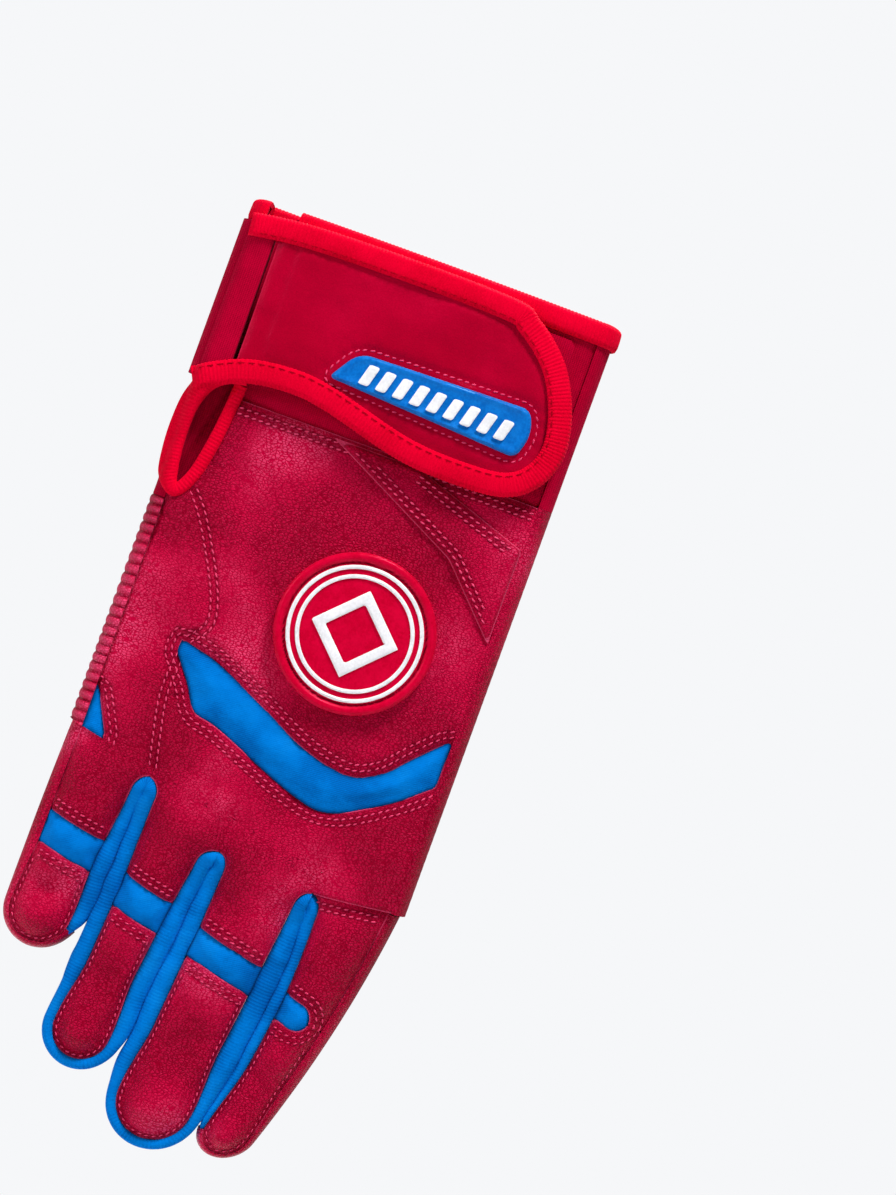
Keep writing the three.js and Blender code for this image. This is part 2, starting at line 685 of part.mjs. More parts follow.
function buildStrap(group) {
  const place = ([acrossShare, alongShare]) => [
    strapRoot + acrossShare * strapLength,
    strapTopDrop + alongShare * strapHeight,
  ];
  const cover = (a, b) => place([1.04 * a - 0.02, 1.04 * b - 0.02]);
  const outline = splinePoints(strapOutlineShares.map(place), 42);
  const layer = (low, thick) =>
    solidOf(patchSheet(hand, backSide, cover, 14, 4, low, low + thick));
  const seamAcross = strapRoot + strapSeamShare * strapLength;
  const half = (side) => {
    const far = side * cutOverrun * 2;
    const near = seamAcross + (side * seatGap) / 2;
    return cutter(hand, backSide, [[near, -far], [near + far, -far], [near + far, far], [near, far]]);
  };
  const sheet = layer(strapLow, strapSheet).intersect(cutter(hand, backSide, outline));
  addMesh(group, 'strap_panel', sheet.intersect(half(1)), 'smoothLeather');
  addMesh(group, 'strap_root', sheet.intersect(half(-1)), 'cuffCloth');

  // The binding runs round the tab's free edges and stops at its root
  const tape = tapeSection(strapLow, strapLow + strapSheet, bindingWidth, bindingWall);
  const tapeLine = sweep(stations(outline), tape, onFace(hand, backSide));
  addMesh(group, 'strap_binding', tapeLine, 'tape');

  const hookArea = (a, b) => place([
    THREE.MathUtils.lerp(hookSpanShare[0], hookSpanShare[1], a),
    THREE.MathUtils.lerp(hookRiseShare[0], hookRiseShare[1], b),
  ]);
  const hookLow = seatGap + loopPad + seatGap;
  const hook = patchSheet(hand, backSide, hookArea, 8, 3, hookLow, hookLow + hookPad);
  addMesh(group, 'hook_pad', hook, 'cuffCloth');

  const labelLow = strapLow + strapSheet + seatGap;
  const label = layer(labelLow, labelSheet).intersect(cutter(hand, backSide, labelShares.map(place)));
  addMesh(group, 'strap_label', label, 'blueRubber');
  const barsLow = labelLow + labelSheet + seatGap;
  const bars = layer(barsLow, labelPrint).intersect(cutter(hand, backSide, barOutline().map(place)));
  addMesh(group, 'label_bars', bars, 'whiteRubber');
}

// Slanted bars that stand on one thin line, as a plain stand-in for a printed word
function barOutline() {
  const [left, right] = barSpanShare;
  const [top, foot, line] = barRiseShare;
  const pitch = (right - left) / barCount;
  const teeth = [];
  for (let k = barCount - 1; k >= 0; k--) {
    const x = left + k * pitch;
    const lean = barLeanShare;
    teeth.push([x + barFillShare * pitch, foot], [x + barFillShare * pitch + lean, top]);
    teeth.push([x + lean, top], [x, foot]);
  }
  return [[left, line], [right, line], [right, foot], ...teeth.filter(([x, y]) => x > left || y !== foot)];
}

// Wraps the cuff's side outside its wall, and carries the tab's root
function buildStrapAnchor(group) {
  const top = strapTopDrop + strapHeight * 0.04;
  const path = Array.from({ length: 3 }, (_, k) => ({
    across: -plateHalf,
    along: THREE.MathUtils.lerp(top, strapHeight, k / 2),
    out: [-1, 0],
  }));
  const reach = sideBulge + anchorSheet + seatGap;
  const section = sideSection(sideHalfDepth + seatGap + anchorSheet, reach, anchorSheet, 8);
  addMesh(group, 'strap_anchor', sweep(path, section, onEdge(hand)), 'cuffCloth');
}

// Thumb stall: an outer sheet that rises from the crease, a short inner sheet, and a side wall
function buildThumb(group) {
  const tipIndex = 15;
  const outline = splinePoints(thumbOutlineShares.map(handSpot), 2 * tipIndex);
  const last = outline.length - 1;
  const spanTo = (spot, from, to) => {
    const line = new THREE.Line3(new THREE.Vector3(...from, 0), new THREE.Vector3(...to, 0));
    const place = new THREE.Vector3(...spot, 0);
    return line.closestPointToPoint(place, true, new THREE.Vector3()).distanceTo(place);
  };
  const creaseSpan = (spot) => spanTo(spot, outline[0], outline[last]);
  const edgeSpan = (spot) =>
    Math.min(...outline.slice(1).map((to, k) => spanTo(spot, outline[k], to)));
  const rise = (spot) => THREE.MathUtils.smoothstep(creaseSpan(spot), 0, thumbRise);
  const height = (...spot) => {
    const crown = thumbCrown * THREE.MathUtils.smoothstep(edgeSpan(spot), 0, thumbRise);
    return 2 * seatGap + leather + (thumbDepth - leather + crown) * rise(spot);
  };
  const stall = {
    place: hand.place,
    palm: (across, along) => hand.palm(across, along) + height(across, along),
  };
  // Rows run from the crease to the tip, between the stall's two long edges
  const spot = (a, b) => {
    const row = Math.round(b * (tipIndex - 1));
    const [left, right] = [outline[row], outline[last - row]];
    return [0, 1].map((k) => THREE.MathUtils.lerp(left[k], right[k], a));
  };
  const outer = patchSheet(stall, palmSide, spot, 8, tipIndex - 1, -leather, 0);
  addMesh(group, 'thumb_outer', outer, 'smoothLeather');

  const split = mouthSplitShare * handHalfWidth;
  const beyond = [[-handHalfWidth, 0], [split, 0], [split, handFoot], [-handHalfWidth, handFoot]];
  const inner = solidOf(patchSheet(hand, palmSide, spot, 5, tipIndex - 1, seatGap, seatGap + leather));
  addMesh(group, 'thumb_inner', inner.intersect(cutter(hand, palmSide, beyond)), 'smoothLeather');

  // The side wall's section is in shares of the stall's height at each place
  const wallShare = leather / thumbDepth;
  const section = sideSection(1, 1, 2 * wallShare, 4);
  const vertexAt = (station, [reach, share]) => {
    const tall = height(station.across, station.along) - seatGap;
    const out = seatGap + (reach - seatGap) * thumbEdgeWidth;
    const across = station.across + station.out[0] * out;
    const along = station.along + station.out[1] * out;
    const { x, y } = hand.place(across, along);
    const foot = hand.palm(station.across, station.along) + seatGap;
    return new THREE.Vector3(x, foot + (tall * (share + 1)) / 2, y);
  };
  const edge = outline.filter((point, k) => k !== tipIndex && creaseSpan(point) > thumbRise / 2);
  const free = stations(edge);
  const turned = free.map((station) => ({ ...station, out: station.out.map((v) => -v) }));
  addMesh(group, 'thumb_wall', sweep(turned, section, vertexAt), 'smoothLeather');
}

const handGroup = new THREE.Group();
glove.add(handGroup);
buildBack(handGroup);
buildPalm(handGroup);
buildSides(handGroup);
buildCuff(handGroup);
buildSlitBinding(handGroup);
buildBadge(handGroup);
buildStrapAnchor(handGroup);

const strapGroup = new THREE.Group();
glove.add(strapGroup);
buildStrap(strapGroup);

let fingerEdge = -handHalfWidth + fingerGap;
for (const name of fingerNames) {
  const fingerGroup = new THREE.Group();
  glove.add(fingerGroup);
  const width = fingerWidthShares[name][0] * handHalfWidth;
  buildFinger(fingerGroup, name, fingerEdge + width / 2);
  fingerEdge += width + fingerGap;
}

const thumbGroup = new THREE.Group();
glove.add(thumbGroup);
buildThumb(thumbGroup);

export default glove;
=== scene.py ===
import math

import bpy
import numpy as np
from mathutils import Matrix, Vector


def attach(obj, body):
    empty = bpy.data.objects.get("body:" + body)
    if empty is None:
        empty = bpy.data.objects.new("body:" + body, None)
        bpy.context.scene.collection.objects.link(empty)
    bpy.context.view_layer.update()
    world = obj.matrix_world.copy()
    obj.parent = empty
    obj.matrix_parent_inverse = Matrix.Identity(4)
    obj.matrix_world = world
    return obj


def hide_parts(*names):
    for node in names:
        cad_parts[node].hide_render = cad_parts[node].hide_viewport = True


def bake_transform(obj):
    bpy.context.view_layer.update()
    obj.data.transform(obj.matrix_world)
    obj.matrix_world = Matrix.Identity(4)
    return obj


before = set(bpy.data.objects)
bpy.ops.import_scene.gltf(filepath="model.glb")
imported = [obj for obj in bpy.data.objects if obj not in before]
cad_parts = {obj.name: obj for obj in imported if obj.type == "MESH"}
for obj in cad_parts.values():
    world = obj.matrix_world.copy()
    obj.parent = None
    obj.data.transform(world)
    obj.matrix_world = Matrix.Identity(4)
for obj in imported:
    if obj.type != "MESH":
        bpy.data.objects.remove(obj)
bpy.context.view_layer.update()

# Lengths here are millimetres and angles degrees; MM turns them into the scene's metres.
# A patch maps (across, along) on one face of the glove to a place, as the solids do.
MM = 0.001
BACK, PALM = -1, 1

# Camera: the photograph looks along +Y, with the glove turned 20 degrees in the picture
CAMERA_ROLL = 20
CAMERA_LENS = 110
FRAME_TALL = 298.75
FRAME_CENTRE = (30.5, -75.7)
SENSOR = 36

roll = math.radians(CAMERA_ROLL)
right = Vector((math.cos(roll), 0, math.sin(roll)))
upward = Vector((-math.sin(roll), 0, math.cos(roll)))
toward = right.cross(upward)
camera = bpy.data.objects.new("camera", bpy.data.cameras.new("camera"))
bpy.context.collection.objects.link(camera)
bpy.context.scene.camera = camera
camera.data.lens = CAMERA_LENS
camera.data.sensor_width = SENSOR
camera_reach = FRAME_TALL * CAMERA_LENS / SENSOR
centre = Vector((FRAME_CENTRE[0], 0, FRAME_CENTRE[1]))
camera.matrix_world = Matrix.Translation((centre + toward * camera_reach) * MM) @ Matrix(
    (right, upward, toward)
).transposed().to_4x4()

# Glove sizes, as in the solids
LEATHER, STRETCH, NEOPRENE, SEAT = 1.2, 1.0, 2.4, 0.3
HALF_WIDTH, CUFF, HAND = 48.0, 47.0, 98.5
SIDE_BULGE, SIDE_DEPTH = 4.0, 7.0
BACK_CROWN, PALM_CROWN = 11.0, 9.4
FINGER_BACK, FINGER_PALM, FINGER_SIDE = 8.4, 7.8, 5.0
KNUCKLE_SLOPE = 0.2
PLATE = HALF_WIDTH - SIDE_BULGE
FOOT = CUFF + HAND


# Plain mathematics on arrays of points
def lerp(a, b, share):
    return a + (b - a) * share


def smooth(value, low, high):
    share = np.clip((value - low) / (high - low), 0, 1)
    return share * share * (3 - 2 * share)


def bell(distance, width):
    return np.exp(-((distance / width) ** 2))


def spline(points, count, closed=False):
    """Catmull-Rom curve through points, with count spans in all."""
    knots = np.array(points, float)
    total = len(knots) if closed else len(knots) - 1
    result = []
    for k in range(count + (0 if closed else 1)):
        place = k / count * total
        base = min(int(place), total - 1)
        t = place - base
        if closed:
            a, b, c, d = (knots[(base + m) % total] for m in (-1, 0, 1, 2))
        else:
            picks = [min(max(base + m, 0), total) for m in (-1, 0, 1, 2)]
            a, b, c, d = (knots[m] for m in picks)
        v0, v1 = (c - a) / 2, (d - b) / 2
        result.append(
            (2 * b - 2 * c + v0 + v1) * t**3
            + (3 * c - 3 * b - 2 * v0 - v1) * t**2
            + v0 * t
            + b
        )
    return np.array(result)


def resampled(line, pitch, closed=False):
    """Points pitch apart along a line, with both ends kept on an open one."""
    points = np.array(line, float)
    if closed:
        points = np.vstack([points, points[:1]])
    steps = np.linalg.norm(np.diff(points, axis=0), axis=1)
    run = np.concatenate([[0], np.cumsum(steps)])
    count = max(2, round(run[-1] / pitch))
    marks = np.linspace(0, run[-1], count + 1)
    result = np.stack([np.interp(marks, run, axis) for axis in points.T], 1)
    return result[:-1] if closed else result


def nearest(points, line, closed=False):
    """For each point, the distance to a line, the foot on it, and how far along it that is."""
    ends = np.vstack([line, line[:1]]) if closed else np.array(line, float)
    a, b = ends[:-1], ends[1:]
    span = b - a
    length = np.maximum(np.linalg.norm(span, axis=1), 1e-9)
    start = np.concatenate([[0], np.cumsum(length)[:-1]])
    share = ((points[:, None] - a) * span).sum(-1) / length**2
    share = np.clip(share, 0, 1)
    feet = a + span * share[..., None]
    gap = np.linalg.norm(points[:, None] - feet, axis=2)
    best = gap.argmin(1)
    rows = np.arange(len(points))
    return gap[rows, best], feet[rows, best], start[best] + share[rows, best] * length[best]


def inside(points, ring):
    """Whether each point lies inside a closed ring."""
    result = np.zeros(len(points), bool)
    for (ax, ay), (bx, by) in zip(ring, np.roll(ring, -1, 0)):
        if ay == by:
            continue
        crosses = (ay > points[:, 1]) != (by > points[:, 1])
        reach = ax + (points[:, 1] - ay) * (bx - ax) / (by - ay)
        result ^= crosses & (points[:, 0] < reach)
    return result


def normals_of(line, closed=False):
    """Unit normals on the right of travel, in across and along."""
    if closed:
        way = np.roll(line, -1, 0) - np.roll(line, 1, 0)
    else:
        way = np.gradient(line, axis=0)
    way /= np.maximum(np.linalg.norm(way, axis=1), 1e-9)[:, None]
    return np.stack([way[:, 1], -way[:, 0]], 1)


def offset(line, amount, closed=False):
    return line + normals_of(line, closed) * amount


def ring_offset(ring, amount):
    """A closed ring moved outward by amount."""
    x, y = ring.T
    area = (x * np.roll(y, -1) - y * np.roll(x, -1)).sum()
    return offset(ring, amount if area > 0 else -amount, True)


def waves(spots, size, seed):
    """Soft unevenness between -1 and 1, as wide as size, from a few crossing waves."""
    draw = np.random.default_rng(seed)
    total = np.zeros(len(spots))
    for turn in np.linspace(0, math.pi, 7)[:-1]:
        way = np.array([math.cos(turn), math.sin(turn)])
        pace = 2 * math.pi / size * draw.uniform(0.6, 1.5)
        total += np.sin(spots @ way * pace + draw.uniform(0, 6.3))
    return total / 3


# Patches
def dome(edge, crown, share):
    return edge + (crown - edge) * (1 - np.minimum(1, share * share))


def knuckle_at(across):
    return FOOT + KNUCKLE_SLOPE * across


def hand_spot(shares):
    return np.array([[a * HALF_WIDTH, CUFF + b * HAND] for a, b in shares])


class Hand:
    def depth(self, spots, side):
        across, along = spots[:, 0], spots[:, 1]
        share = np.clip((along - CUFF) / HAND, 0, 1)
        crown, finger = (BACK_CROWN, FINGER_BACK) if side == BACK else (PALM_CROWN, FINGER_PALM)
        top = dome(SIDE_DEPTH, lerp(crown, finger + LEATHER, share**2), across / PLATE)
        # Past the plate's edge the surface turns down over the side
        past = np.clip((np.abs(across) - PLATE) / SIDE_BULGE, 0, 0.93)
        return top * np.sqrt(1 - past**2)

    def plan(self, spots):
        return np.stack([spots[:, 0], -spots[:, 1]], 1)

    def point(self, spots, side, lift):
        x, z = self.plan(spots).T
        return np.stack([x, side * (self.depth(spots, side) + lift), z], 1)


FINGERS = ("pinky", "ring", "middle", "index")
WIDTH_SHARES = {
    "pinky": (0.4875, 0.4583, 0.4083),
    "ring": (0.4708, 0.4542, 0.4083),
    "middle": (0.5083, 0.55, 0.5),
    "index": (0.4583, 0.3792, 0.3042),
}
MIDDLE_LENGTH, GUSSET, FINGER_GAP = 83.0, 4.4, 0.6
LENGTH_SHARES = {"pinky": 0.663, "ring": 0.904, "middle": 1.0, "index": 0.904}
WALL_SHARES = {"pinky": 0.77, "ring": 1.0, "middle": 0.95, "index": 0.68}
BEND_SHARES = {"pinky": 0.004, "ring": 0.003, "middle": 0.024, "index": 0.125}
LEANS = {"pinky": 3.0, "ring": 5.4, "middle": 4.6, "index": 3.2}
BANDS = {"pinky": (0.4, 0.55), "ring": (0.35, 0.46), "middle": (0.34, 0.43), "index": (0.41, 0.5)}
BAND_SLANT, TIP_FLAT = 0.16, 75
BODIES = {
    "pinky": "little_finger", "ring": "ring_finger", "middle": "middle_finger",
    "index": "forefinger",
}
# How far below the knuckle line the leather of neighbouring fingers parts, left and right
CROTCH = {"pinky": (0, 2.0), "ring": (2.0, 9.0), "middle": (9.0, 6.0), "index": (6.0, 0)}
OUTER_SIDE = {"pinky": -1, "ring": 0, "middle": 0, "index": 1}


class Finger:
    def __init__(self, name, base_across):
        self.name, self.body = name, BODIES[name]
        self.lean = math.radians(LEANS[name])
        self.base = (base_across, -knuckle_at(base_across))
        half, middle, tip = (s * HALF_WIDTH / 2 for s in WIDTH_SHARES[name])
        self.half = half
        self.wall = WALL_SHARES[name] * GUSSET
        self.length = LENGTH_SHARES[name] * MIDDLE_LENGTH
        self.bend = BEND_SHARES[name] * self.length
        self.tip_half = tip - self.wall
        self.cap = self.length - self.wall - self.tip_half
        self.root_edge, middle_edge = half - self.wall, middle - self.wall
        self.bow = 4 * middle_edge - 2 * self.root_edge - 2 * self.tip_half
        self.band = [s * self.length for s in BANDS[name]]
        self.slope = math.tan(math.atan(KNUCKLE_SLOPE) - self.lean)

    def edge(self, along):
        along = np.asarray(along, float)
        share = np.clip(along / self.cap, 0, 1)
        straight = lerp(self.root_edge, self.tip_half, share) + self.bow * share * (1 - share)
        past = np.clip(along - self.cap, 0, self.tip_half)
        return np.where(along > self.cap, np.sqrt(self.tip_half**2 - past**2), straight)

    def cap_row(self, degrees):
        return self.cap + self.tip_half * math.sin(math.radians(degrees))

    def start(self, across):
        return across * self.slope

    def depth(self, spots, side):
        across, along = np.abs(spots[:, 0]), spots[:, 1]
        crown = FINGER_BACK if side == BACK else FINGER_PALM
        fall = np.clip((along - self.cap) / self.tip_half, 0, 1)
        edge = self.edge(np.minimum(along, self.cap_row(TIP_FLAT)))
        top = dome(FINGER_SIDE, lerp(crown, FINGER_SIDE, fall**2), across / edge)
        # Past the tip's round or the side's edge the surface turns down over the side
        round_tip = np.hypot(across, np.maximum(along - self.cap, 0)) - self.tip_half
        past = np.where(along > self.cap, round_tip, across - edge)
        turned = FINGER_SIDE * np.sqrt(1 - np.clip(past / self.wall, 0, 0.9) ** 2)
        return np.where(past > 0, turned, top)

    def plan(self, spots):
        across, along = spots.T
        shifted = across - self.bend * (np.maximum(0, along) / self.length) ** 2
        x = self.base[0] + shifted * math.cos(self.lean) - along * math.sin(self.lean)
        z = self.base[1] - shifted * math.sin(self.lean) - along * math.cos(self.lean)
        return np.stack([x, z], 1)

    def own(self, places):
        """The finger's (across, along) of places on the hand's plan."""
        right, up = (places - self.base).T
        along = -right * math.sin(self.lean) - up * math.cos(self.lean)
        across = right * math.cos(self.lean) - up * math.sin(self.lean)
        return np.stack([across + self.bend * (np.maximum(0, along) / self.length) ** 2, along], 1)

    def point(self, spots, side, lift):
        x, z = self.plan(spots).T
        return np.stack([x, side * (self.depth(spots, side) + lift), z], 1)


hand = Hand()
fingers = {}
reach = -HALF_WIDTH + FINGER_GAP
for name in FINGERS:
    width = WIDTH_SHARES[name][0] * HALF_WIDTH
    fingers[name] = Finger(name, reach + width / 2)
    reach += width + FINGER_GAP


# The line from the knuckles to each crotch, which two fingers share
partings = {}
for left_name, right_name in zip(FINGERS, list(FINGERS)[1:]):
    pair = (fingers[left_name], 1), (fingers[right_name], -1)
    down = np.linspace(0, CROTCH[left_name][1], 12)[:, None] * [0, 1]
    lines = [f.plan([side * f.half, f.start(side * f.half)] + down) for f, side in pair]
    for f, side in pair:
        partings[f.name, side] = f.own((lines[0] + lines[1]) / 2)


# Meshes
def mesh_piece(name, points, faces, material, values=None, spots=None):
    """A closed mesh in metres, turned so that its faces point outward."""
    points = np.asarray(points, float) * MM
    fans = np.array([
        (face[0], face[k], face[k + 1]) for face in faces for k in range(1, len(face) - 1)])
    first, second, third = (points[fans[:, k]] for k in range(3))
    if (first * np.cross(second, third)).sum() < 0:
        faces = [tuple(reversed(face)) for face in faces]
    mesh = bpy.data.meshes.new(name)
    mesh.from_pydata(points.tolist(), [], faces)
    mesh.polygons.foreach_set("use_smooth", [True] * len(mesh.polygons))
    mesh.set_sharp_from_angle(angle=math.radians(52))
    for key, column in (values or {}).items():
        attribute = mesh.attributes.new(key, "FLOAT", "POINT")
        attribute.data.foreach_set("value", np.asarray(column, np.float32))
    if spots is not None:
        layer = mesh.uv_layers.new(name="surface")
        corners = np.zeros(len(mesh.loops), np.int32)
        mesh.loops.foreach_get("vertex_index", corners)
        layer.data.foreach_set("uv", np.asarray(spots, np.float32)[corners].ravel())
    mesh.materials.append(material)
    piece = bpy.data.objects.new(name, mesh)
    bpy.context.collection.objects.link(piece)
    return piece


def walled(top, low, faces):
    """Joins a top and a low layer that share faces into one closed shell."""
    count = len(top)
    edges = {}
    for face in faces:
        for a, b in zip(face, face[1:] + face[:1]):
            edges[(a, b)] = edges.get((b, a)) is None
            if (b, a) in edges:
                edges[(b, a)] = False
    shell = list(faces) + [tuple(count + k for k in reversed(face)) for face in faces]
    shell += [(b, a, count + a, count + b) for (a, b), rim in edges.items() if rim]
    return np.vstack([top, low]), shell


def cut_grid(outline, holes=(), cell=1.0):
    """Grid spots inside an outline and outside its holes, snapped to their lines, and faces."""
    rings = [np.asarray(ring, float) for ring in (outline, *holes)]
    low, high = rings[0].min(0) - cell / 2, rings[0].max(0) + cell / 2
    cols, rows = (int(n) + 2 for n in (high - low) / cell)
    across, along = np.meshgrid(low[0] + cell * np.arange(cols), low[1] + cell * np.arange(rows))
    grid = np.stack([across.ravel(), along.ravel()], 1)
    within = inside(grid, rings[0])
    gap, foot, run = nearest(grid, rings[0], True)
    for hole in rings[1:]:
        within &= ~inside(grid, hole)
        hole_gap, hole_foot, hole_run = nearest(grid, hole, True)
        closer = hole_gap < gap
        gap = np.where(closer, hole_gap, gap)
        run = np.where(closer, hole_run, run)
        foot = np.where(closer[:, None], hole_foot, foot)
    close = gap < 0.58 * cell
    spots = np.where(close[:, None], foot, grid)
    kept = within | close
    corner = (np.arange(rows - 1)[:, None] * cols + np.arange(cols - 1)).ravel()
    quads = corner[:, None] + np.array([0, 1, cols + 1, cols])
    ok = [tuple(int(k) for k in quad if kept[k]) for quad in quads[kept[quads].sum(1) > 2]]
    middles = np.array([spots[list(face)].mean(0) for face in ok])
    good = inside(middles, rings[0])
    for hole in rings[1:]:
        good &= ~inside(middles, hole)
    faces = [face for face, keep in zip(ok, good) if keep]
    used = sorted({k for face in faces for k in face})
    place = {k: n for n, k in enumerate(used)}
    faces = [tuple(place[k] for k in face) for face in faces]
    gap = np.where(close, 0, gap)
    return spots[used], faces, gap[used], run[used]


def edge_roll(gap, radius):
    """How far a rounded edge drops at a distance from it."""
    t = np.clip(gap / radius, 0, 1)
    return -radius * (1 - np.sqrt(np.clip(1 - (1 - t) ** 2, 0, 1)))


def sheet_shell(patch, side, outline, lift, thickness, holes, cell, roll, seams):
    spots, faces, gap, run = cut_grid(outline, holes, cell)
    if seams:
        found = [nearest(spots, line, closed) for line, closed, *_ in seams]
        gaps = np.array([gap for gap, _, _ in found])
        run = np.array([run for _, _, run in found])[gaps.argmin(0), range(len(spots))]
        gap = gaps.min(0)
    raised = lift(spots, gap, run)
    top = patch.point(spots, side, raised + edge_roll(gap, roll))
    low = patch.point(spots, side, np.minimum(raised, 0) * 0.5 - thickness)
    points, shell = walled(top, low, faces)
    return points, shell, np.concatenate([gap, gap]), np.vstack([spots, spots])


cut_spots = {}


def panel(
    name, patch, side, outline, material, lift, thickness, holes=(), cell=1.0, roll=0.6, seams=None
):
    """A sheet on a patch, cut to an outline. lift(spots, gap, run) raises its outer face, which
    rounds off at its rims, or at the seams given where some of its rim joins another piece."""
    points, shell, gap, spots = sheet_shell(
        patch, side, outline, lift, thickness, holes, cell, roll, seams)
    cut_spots[name] = spots
    return mesh_piece(name, points, shell, material, {"seam": gap}, spots)


def panels(name, patch, side, outlines, material, lift, thickness, cell, roll):
    """Several such sheets as one piece."""
    shells = [
        sheet_shell(patch, side, outline, lift, thickness, (), cell, roll, None)
        for outline in outlines]
    starts = np.cumsum([0] + [len(shell[0]) for shell in shells])
    faces = [
        tuple(int(start) + k for k in face)
        for start, shell in zip(starts, shells) for face in shell[1]]
    points, gap, spots = (np.concatenate([shell[k] for shell in shells]) for k in (0, 2, 3))
    return mesh_piece(name, points, faces, material, {"seam": gap}, spots)


def sweep(name, path, sides, vertex_at, section, material, closed=False):
    """A band of one section along a path. section(k, share) gives rows of (out, depth)."""
    count = len(path)
    rings = []
    for k in range(count):
        profile = np.asarray(section(k, k / max(1, count - 1)), float)
        rings.append(vertex_at(path[k], sides[k], profile))
    size = len(rings[0])
    faces = []
    for k in range(count if closed else count - 1):
        n = (k + 1) % count
        for m in range(size):
            o = (m + 1) % size
            faces.append((k * size + m, k * size + o, n * size + o, n * size + m))
    if not closed:
        faces.append(tuple(range(size)))
        faces.append(tuple(reversed(range((count - 1) * size, count * size))))
    steps = np.linalg.norm(np.diff(path, axis=0), axis=1)
    run = np.repeat(np.concatenate([[0], np.cumsum(steps)]), size)
    round_share = np.tile(np.linspace(0, 1, size), count)
    return mesh_piece(
        name, np.vstack(rings), faces, material, {"run": run},
        np.stack([run, round_share], 1),
    )


def on_patch(patch, side):
    """Section rows of (out, depth above the face) placed beside a station of a path."""
    def place(spot, out, profile):
        spots = spot + profile[:, :1] * out
        return patch.point(spots, side, profile[:, 1])
    return place


def on_edge(patch):
    """Section rows of (out, depth from the middle plane) placed beside a station."""
    def place(spot, out, profile):
        x, z = patch.plan(spot + profile[:, :1] * out).T
        return np.stack([x, profile[:, 1], z], 1)
    return place


# Finishes
class Wire:
    """A socket of a finish's tree, with arithmetic."""

    def __init__(self, finish, socket):
        self.finish, self.socket = finish, socket

    def maths(self, operation, *others, **settings):
        values = dict(enumerate((self, *others)))
        return self.finish.node("Math", {"operation": operation, **settings}, values)

    def __add__(self, other):
        return self.maths("ADD", other)

    def __sub__(self, other):
        return self.maths("SUBTRACT", other)

    def __rsub__(self, other):
        return self.finish.node("Math", {"operation": "SUBTRACT"}, {0: other, 1: self})

    def __mul__(self, other):
        return self.maths("MULTIPLY", other)

    def __truediv__(self, other):
        return self.maths("DIVIDE", other)

    def __pow__(self, other):
        return self.maths("POWER", other)

    def __mod__(self, other):
        return self.maths("FLOORED_MODULO", other)

    __radd__, __rmul__ = __add__, __mul__

    def between(self, low, high):
        """0 below low, 1 above high, smooth between."""
        settings = {"interpolation_type": "SMOOTHSTEP"}
        return self.finish.node("MapRange", settings, {0: self, 1: low, 2: high})


class Finish:
    """One material, whose nodes are all made here."""

    def __init__(self, name, **shader):
        self.material = bpy.data.materials.new(name)
        self.material.use_nodes = True
        self.tree = self.material.node_tree
        self.shader = self.tree.nodes["Principled BSDF"]
        for key, value in shader.items():
            self.shader.inputs[key.replace("_", " ")].default_value = value

    def node(self, kind, settings=None, values=None, out=0):
        node = self.tree.nodes.new("ShaderNode" + kind)
        for key, value in (settings or {}).items():
            if key == "stops":
                ramp = node.color_ramp
                while len(ramp.elements) < len(value):
                    ramp.elements.new(1)
                for stop, (place, colour) in zip(ramp.elements, value):
                    stop.position, stop.color = place, (*colour, 1)
            else:
                setattr(node, key, value)
        for key, value in (values or {}).items():
            if isinstance(value, Wire):
                self.tree.links.new(value.socket, node.inputs[key])
            else:
                node.inputs[key].default_value = value
        return Wire(self, node.outputs[out])

    def place(self):
        """Object coordinates in millimetres."""
        spot = self.node("TexCoord", out="Object")
        return self.node("Mapping", {}, {"Vector": spot, "Scale": (1000, 1000, 1000)})

    def surface(self):
        """The piece's own across and along, in millimetres."""
        return self.node("UVMap", {"uv_map": "surface"})

    def value(self, name):
        return self.node("Attribute", {"attribute_name": name}, out="Fac")

    def noise(self, where, scale, detail=3.0, rough=0.5):
        values = {"Vector": where, "Scale": scale, "Detail": detail, "Roughness": rough}
        return self.node("TexNoise", {}, values)

    def mix(self, share, a, b):
        """Colour a where share is 0 and b where it is 1."""
        settings = {"data_type": "RGBA"}
        colours = {6: rgba(a), 7: rgba(b), 0: share}
        return self.node("Mix", settings, colours, out=2)

    def bump(self, height, reach, normal=None, strength=1.0):
        values = {"Height": height, "Distance": reach * MM, "Strength": strength}
        if normal is not None:
            values["Normal"] = normal
        return self.node("Bump", {}, values)

    def paint(self, **links):
        for key, wire in links.items():
            self.tree.links.new(wire.socket, self.shader.inputs[key.replace("_", " ")])
        return self.material


def rgba(colour):
    """A Wire as it is, or a colour written as sRGB bytes made linear."""
    if isinstance(colour, Wire):
        return colour
    linear = [((c / 255 + 0.055) / 1.055) ** 2.4 if c > 10 else c / 3294.6 for c in colour]
    return (*linear, 1.0)


